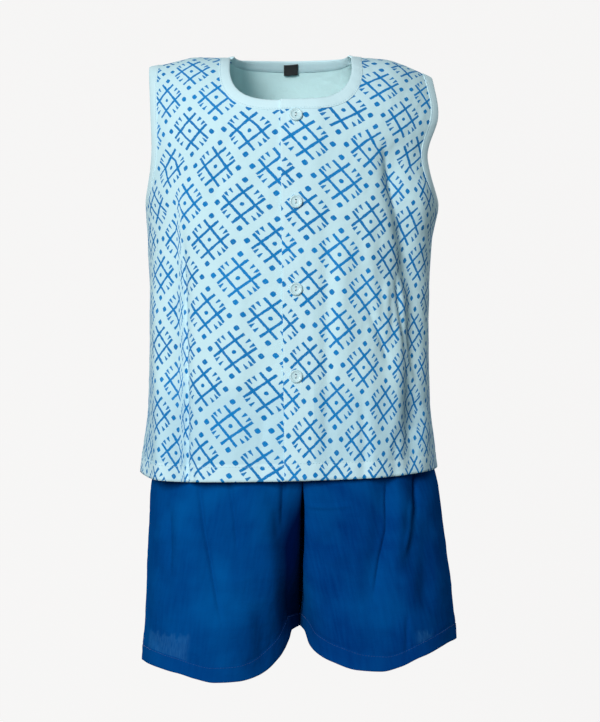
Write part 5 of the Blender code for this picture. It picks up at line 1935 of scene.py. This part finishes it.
@dataclass
class BlueShorts:
    """The wide shorts: four panels, an elastic waist, turned hems and their sewing."""

    form: ShortsForm
    finishes: Finishes
    hem_depth: float = 0.0135
    outside: float = 0.00050
    inside: float = 0.00020
    hem_inside: float = 0.00110
    calm: float = 0.0300
    columns_front: int = 150
    columns_back: int = 100
    rows: int = 156
    gathers: int = 64
    gather_depth: float = 0.0011
    gather_uneven: float = 0.35
    gather_sway: float = 0.8
    gather_fade_z: float = -0.3520
    waist_steps: int = 384
    waist_rows: int = 15
    waist_half: float = 0.0010
    waist_roll: float = 0.0009
    waist_lap: float = 0.001
    waist_flat: Pair = (0.660, 0.029)
    dense: int = 360
    sewn_above: float = 0.0012
    panel_flat: Pair = (0.215, 0.228)
    creases: tuple[Crease, ...] = pressed(
        Face.FRONT,
        ((-880, -3300, -650, -4950), 100, -32), ((-660, -3400, -500, -4450), 90, -24),
        ((-1120, -3850, -1130, -4850), 90, -18), ((870, -3400, 620, -4950), 110, -44),
        ((1140, -3350, 960, -4600), 100, -58), ((1000, -3750, 870, -4550), 90, 30),
        ((-240, -3350, -110, -4550), 110, -34),
        ((-870, -3550, -800, -4080, -725, -4430, -600, -5050), 24, -21, 0.6),
        ((-600, -3550, -520, -4000, -480, -4400), 26, -16, 0.5),
        ((-1090, -3950, -1085, -4600), 30, -17, 0.5), ((-1170, -4000, -1165, -4550), 40, 13),
        ((-1000, -3950, -990, -4500), 45, 11), ((-100, -3500, -90, -4200), 34, -30, 0.4),
        ((-30, -3600, -45, -4300, -60, -5200), 110, -60),
        ((-160, -3950, -140, -4250), 40, -12, 0.4),
        ((810, -3600, 800, -4150, 735, -4400, 660, -4800), 26, -24, 0.6),
        ((880, -3600, 880, -4200), 50, 16),
        ((1115, -3350, 1085, -3750, 1070, -4120), 28, -34, 0.5),
        ((1020, -3850, 1000, -4150, 940, -4400), 30, 24), ((1180, -3900, 1120, -5000), 90, -42),
        ((958, -4850, 957, -5250), 22, -12, 0.5),
        ((-330, -4700, -290, -5000, -280, -5450), 70, -16, 0.2),
        ((70, -3950, 290, -3960, 520, -3948), 22, 12, 0.5), ((-1290, -4270, -780, -4205), 50, 9),
        ((-780, -4560, -340, -4600), 70, 8), ((250, -4450, 480, -4300), 60, 9),
        ((150, -4300, 360, -4200), 50, -7),
    ) + pressed(
        Face.BACK,
        ((-810, -3300, -690, -5900), 130, -36), ((-360, -3450, -400, -4850), 120, -26),
        ((500, -3300, 480, -5900), 130, -36), ((970, -3450, 870, -5150), 120, -30),
        ((-600, -3600, -560, -4300, -610, -5000), 34, -13, 0.5),
        ((-980, -3700, -920, -4600), 40, -15, 0.4),
        ((760, -3650, 700, -4400, 740, -5200), 36, -14, 0.5),
        ((240, -3600, 300, -4400), 36, -12, 0.5),
    )
    waves: Unevenness = Unevenness(0.0135, (0.00040, 0.030), (0.00014, 0.010), (0.00026, 0.0080),
                                   0.2, 0.00035, (0.00060, 0.0016))
    seam_calm: float = 0.0100

    def panel(self, side: Side, face: Face) -> Sheet:
        """The creased sheet of one panel, from the hem up to the waist."""
        place = np.linspace(0.0, 2.0, self.dense)
        hem = read_curve(self.form.hem, f"{side.name}_{face.name}".lower(), place)
        top = self.form.waist_low_z + self.waist_lap
        columns = self.columns_front if face is Face.FRONT else self.columns_back
        points = np.empty((self.rows + 1, columns + 1, 3))
        flat, trim = np.empty((*points.shape[:2], 2)), np.empty((*points.shape[:2], 2))
        for row in range(self.rows + 1):
            line = self.form.place(side, face, place, hem + (top - hem) * row / self.rows)
            marks, points[row] = evened(line, columns)
            flat[row, :, 0] = marks
            trim[row, :, 1] = marks[-1] - marks
        flat[:, :, 1] = points[:, :, 2]
        trim[:, :, 0] = points[:, :, 2] - points[:1, :, 2]
        sheet = Sheet.grid(points, flat, trim, side.value * face.value > 0)
        return self.wrinkled(sheet, 40 + 3 * side.value + face.value)

    def gather(self, points: Array) -> Array:
        """Waves of the elastic waist, which fade down the panel."""
        turn = np.arctan2(points[:, 1], points[:, 0])
        uneven = 1.0 + self.gather_uneven * np.sin(turn * 7.0 + 1.3)
        fall = (points[:, 2] - self.gather_fade_z) / (self.form.waist_low_z - self.gather_fade_z)
        wave = np.sin(turn * self.gathers + self.gather_sway * np.sin(turn * 5.0))
        return self.gather_depth * uneven * ease(fall) * wave

    def wrinkled(self, sheet: Sheet, seed: int) -> Sheet:
        """The sheet with its creases, gathers, hem line, seam tucks and small unevenness."""
        push = crease_push(sheet.points, self.creases, self.calm) + self.gather(sheet.points)
        inner = ease(np.minimum(sheet.trim[:, 1], sheet.flat[:, 0]) / self.seam_calm)
        return sheet.pushed(push + self.waves.push(sheet, seed, inner, inner, sheet.flat[:, 0]))

    def build_panels(self) -> None:
        """Build the four panels and their hems' sewing."""
        # each front's place painted paler, reach of the painted shade between the legs, and share
        # of painted light
        looks = {
            (Side.RIGHT, Face.FRONT): (Patch(71.0, -517.0, 28.0, 13.0), 42.0, 0.24),
            (Side.LEFT, Face.FRONT): (Patch(82.0, -509.0, 11.0, 8.0), 8.0, 0.0),
        }
        rows = []
        for side in Side:
            for face in Face:
                name = f"{face.name}_{side.name}".lower()
                sheet = self.panel(side, face)
                outer = self.finishes.sheer_blue("blue_cotton_" + name,
                                                 *looks.get((side, face), (None, 8.0, 0.0)))
                inner = self.finishes.sheer_blue("blue_inside_" + name)
                piece = sheet.hemmed("blue_" + name, self, [outer, inner])
                sheet.area()
                settle(piece, "blue_cotton", "shorts_" + name)
                rows.append(self.hem_line(sheet))
        stitches = Stitching(pitch=0.0024, length=0.0018, radius=0.00018)
        settle(stitches.sew("shorts_hem_stitching", rows, self.finishes.thread(Spool.BLUE)),
               "blue_cotton")

    def hem_line(self, sheet: Sheet) -> Line:
        """The hem's sewing line on a panel and the outward directions along it."""
        normals = sheet.normals().reshape(self.rows + 1, -1, 3)
        points = sheet.points.reshape(normals.shape)
        above = sheet.trim[:, 0].reshape(normals.shape[:2])
        sewn = self.hem_depth - self.sewn_above
        columns = range(above.shape[1])
        line, out = (np.array([read_along(sewn, above[:, column], values[:, column])
                               for column in columns]) for values in (points, normals))
        return line + unit(out) * self.outside, unit(out)

    def build_waist(self) -> None:
        """Build the gathered casing of the elastic."""
        place = np.linspace(0.0, 2.0, self.dense)
        heights = np.linspace(self.form.waist_low_z, self.form.waist_top_z, self.waist_rows)
        points = np.empty((len(heights), self.waist_steps + 1, 3))
        flat = np.empty((*points.shape[:2], 2))
        round_body = ((Side.LEFT, Face.FRONT, 1), (Side.RIGHT, Face.FRONT, -1),
                      (Side.RIGHT, Face.BACK, 1), (Side.LEFT, Face.BACK, -1))
        for row, z in enumerate(heights):
            level = np.full(len(place), z)
            quarters = [self.form.place(side, face, place, level)[::way][:-1]
                        for side, face, way in round_body]
            ring = np.concatenate([*quarters, quarters[0][:1]])
            flat[row, :, 0], points[row] = evened(ring, self.waist_steps)
        flat[:, :, 1] = heights[:, None]
        sheet = Sheet.grid(points, flat, np.full_like(flat, 0.05), True)
        share = (sheet.points[:, 2] - heights[0]) / (heights[-1] - heights[0])
        roll = self.waist_roll * np.sin(share * math.pi * 3.0) ** 2
        outward = sheet.pushed(self.gather(sheet.points) + roll)
        piece = outward.shell("waist_casing", self.waist_half, self.waist_half,
                              [self.finishes.sheer_blue("blue_casing")])
        settle(piece, "blue_cotton", "shorts_waistband")

    def build(self) -> None:
        """Build the shorts."""
        self.build_panels()
        self.build_waist()


class Lamp(NamedTuple):
    """A square soft light, its place and its power in watts."""

    name: str
    place: Tone
    power: float


@dataclass
class Studio:
    """A pale round room, three soft lights and the camera at the photo's place.

    The room is only looked at. The even light round the set comes from the world alone, so
    that the folds keep their shade.
    """

    radius: float = 4.6
    floor_z: float = -2.4
    bend: float = 1.0
    wall_top: float = 2.8
    segments: int = 96
    camera_x: float = 0.0045
    camera_y: float = -1.5
    camera_z: float = -0.2709
    pixel: float = 0.0009
    image_height: int = 722
    sensor: float = 36.0
    aim: Tone = (0.0, 0.0, -0.25)
    lamp_size: float = 1.2
    lamps: tuple[Lamp, ...] = (
        Lamp("key", (-1.18, -2.90, 0.75), 94.0),
        Lamp("back_light", (-1.00, 3.10, 0.80), 65.0),
        Lamp("side_light", (2.00, 2.60, 0.80), 34.0),
    )
    pale: Tone = (1.0, 0.990, 0.983)
    pale_strength: float = 0.885
    air: Tone = (0.82, 0.95, 1.0)
    air_strength: float = 0.20
    bend_steps: int = 12
    middle: float = 0.02

    def room(self) -> None:
        """The floor, the wall and the ceiling in one pale sheet with a round bend."""
        turns = [QUARTER * step / self.bend_steps for step in range(self.bend_steps + 1)]
        profile = [(self.middle, self.floor_z)]
        profile += [(self.radius - self.bend + self.bend * math.sin(turn),
                     self.floor_z + self.bend - self.bend * math.cos(turn)) for turn in turns]
        profile += [(self.radius, self.wall_top), (self.middle, self.wall_top)]
        around = np.arange(self.segments) * math.tau / self.segments
        corners = [(reach * math.cos(turn), reach * math.sin(turn), z)
                   for turn in around for reach, z in profile]
        faces = quads(self.segments, len(profile), ring_rows=True)[:, [0, 3, 2, 1]]
        dye = Dye("pale_room")
        cloudy = dye.noise(dye.wire("ShaderNodeTexCoord", "Object"), 0.8)
        base = dye.blend(cloudy, (0.11, 0.11, 0.11), (0.13, 0.13, 0.13))
        look = dye.finish(Base_Color=base, Roughness=0.9, Specular_IOR_Level=0.0,
                          Emission_Color=self.pale, Emission_Strength=self.pale_strength)
        room = mesh_object("pale_floor", corners, faces, [look])
        room.visible_diffuse = room.visible_glossy = room.visible_shadow = False

    def light(self, lamp: Lamp) -> None:
        """A square soft light aimed at the set."""
        data = bpy.data.lights.new(lamp.name, "AREA")
        data.shape = "SQUARE"
        data.size = self.lamp_size
        data.energy = lamp.power
        item = placed(lamp.name, data)
        item.location = lamp.place
        aim = Vector(self.aim) - Vector(lamp.place)
        item.rotation_euler = aim.to_track_quat("-Z", "Y").to_euler()
        item.visible_camera = False

    def camera(self) -> None:
        """The level camera in front of the set."""
        lens = bpy.data.cameras.new("camera")
        lens.sensor_fit = "VERTICAL"
        lens.sensor_height = self.sensor
        lens.lens = self.sensor * -self.camera_y / (self.pixel * self.image_height)
        item = placed("camera", lens)
        item.location = (self.camera_x, self.camera_y, self.camera_z)
        item.rotation_euler = (QUARTER, 0.0, 0.0)
        bpy.context.scene.camera = item

    def build(self) -> None:
        """Build the room, the lights, the surrounding light and the camera."""
        bpy.context.scene.view_settings.view_transform = "Standard"
        self.room()
        for lamp in self.lamps:
            self.light(lamp)
        world = bpy.data.worlds.new("pale_room")
        world.use_nodes = True
        air = world.node_tree.nodes["Background"].inputs
        air["Color"].default_value = (*self.air, 1.0)
        air["Strength"].default_value = self.air_strength
        bpy.context.scene.world = world
        self.camera()


def main() -> None:
    """Build and dress the whole set."""
    logging.basicConfig(level=logging.INFO, format="%(name)s %(message)s")
    finishes = Finishes()
    form = TopForm()
    top = PrintedTop(form, finishes)
    top.build()
    top.sew()
    Binding(form, finishes, top).build()
    Buttons(form, finishes, top).build()
    Label(form, finishes).build()
    BlueShorts(ShortsForm(), finishes).build()
    Studio().build()


if __name__ == "__main__":
    main()
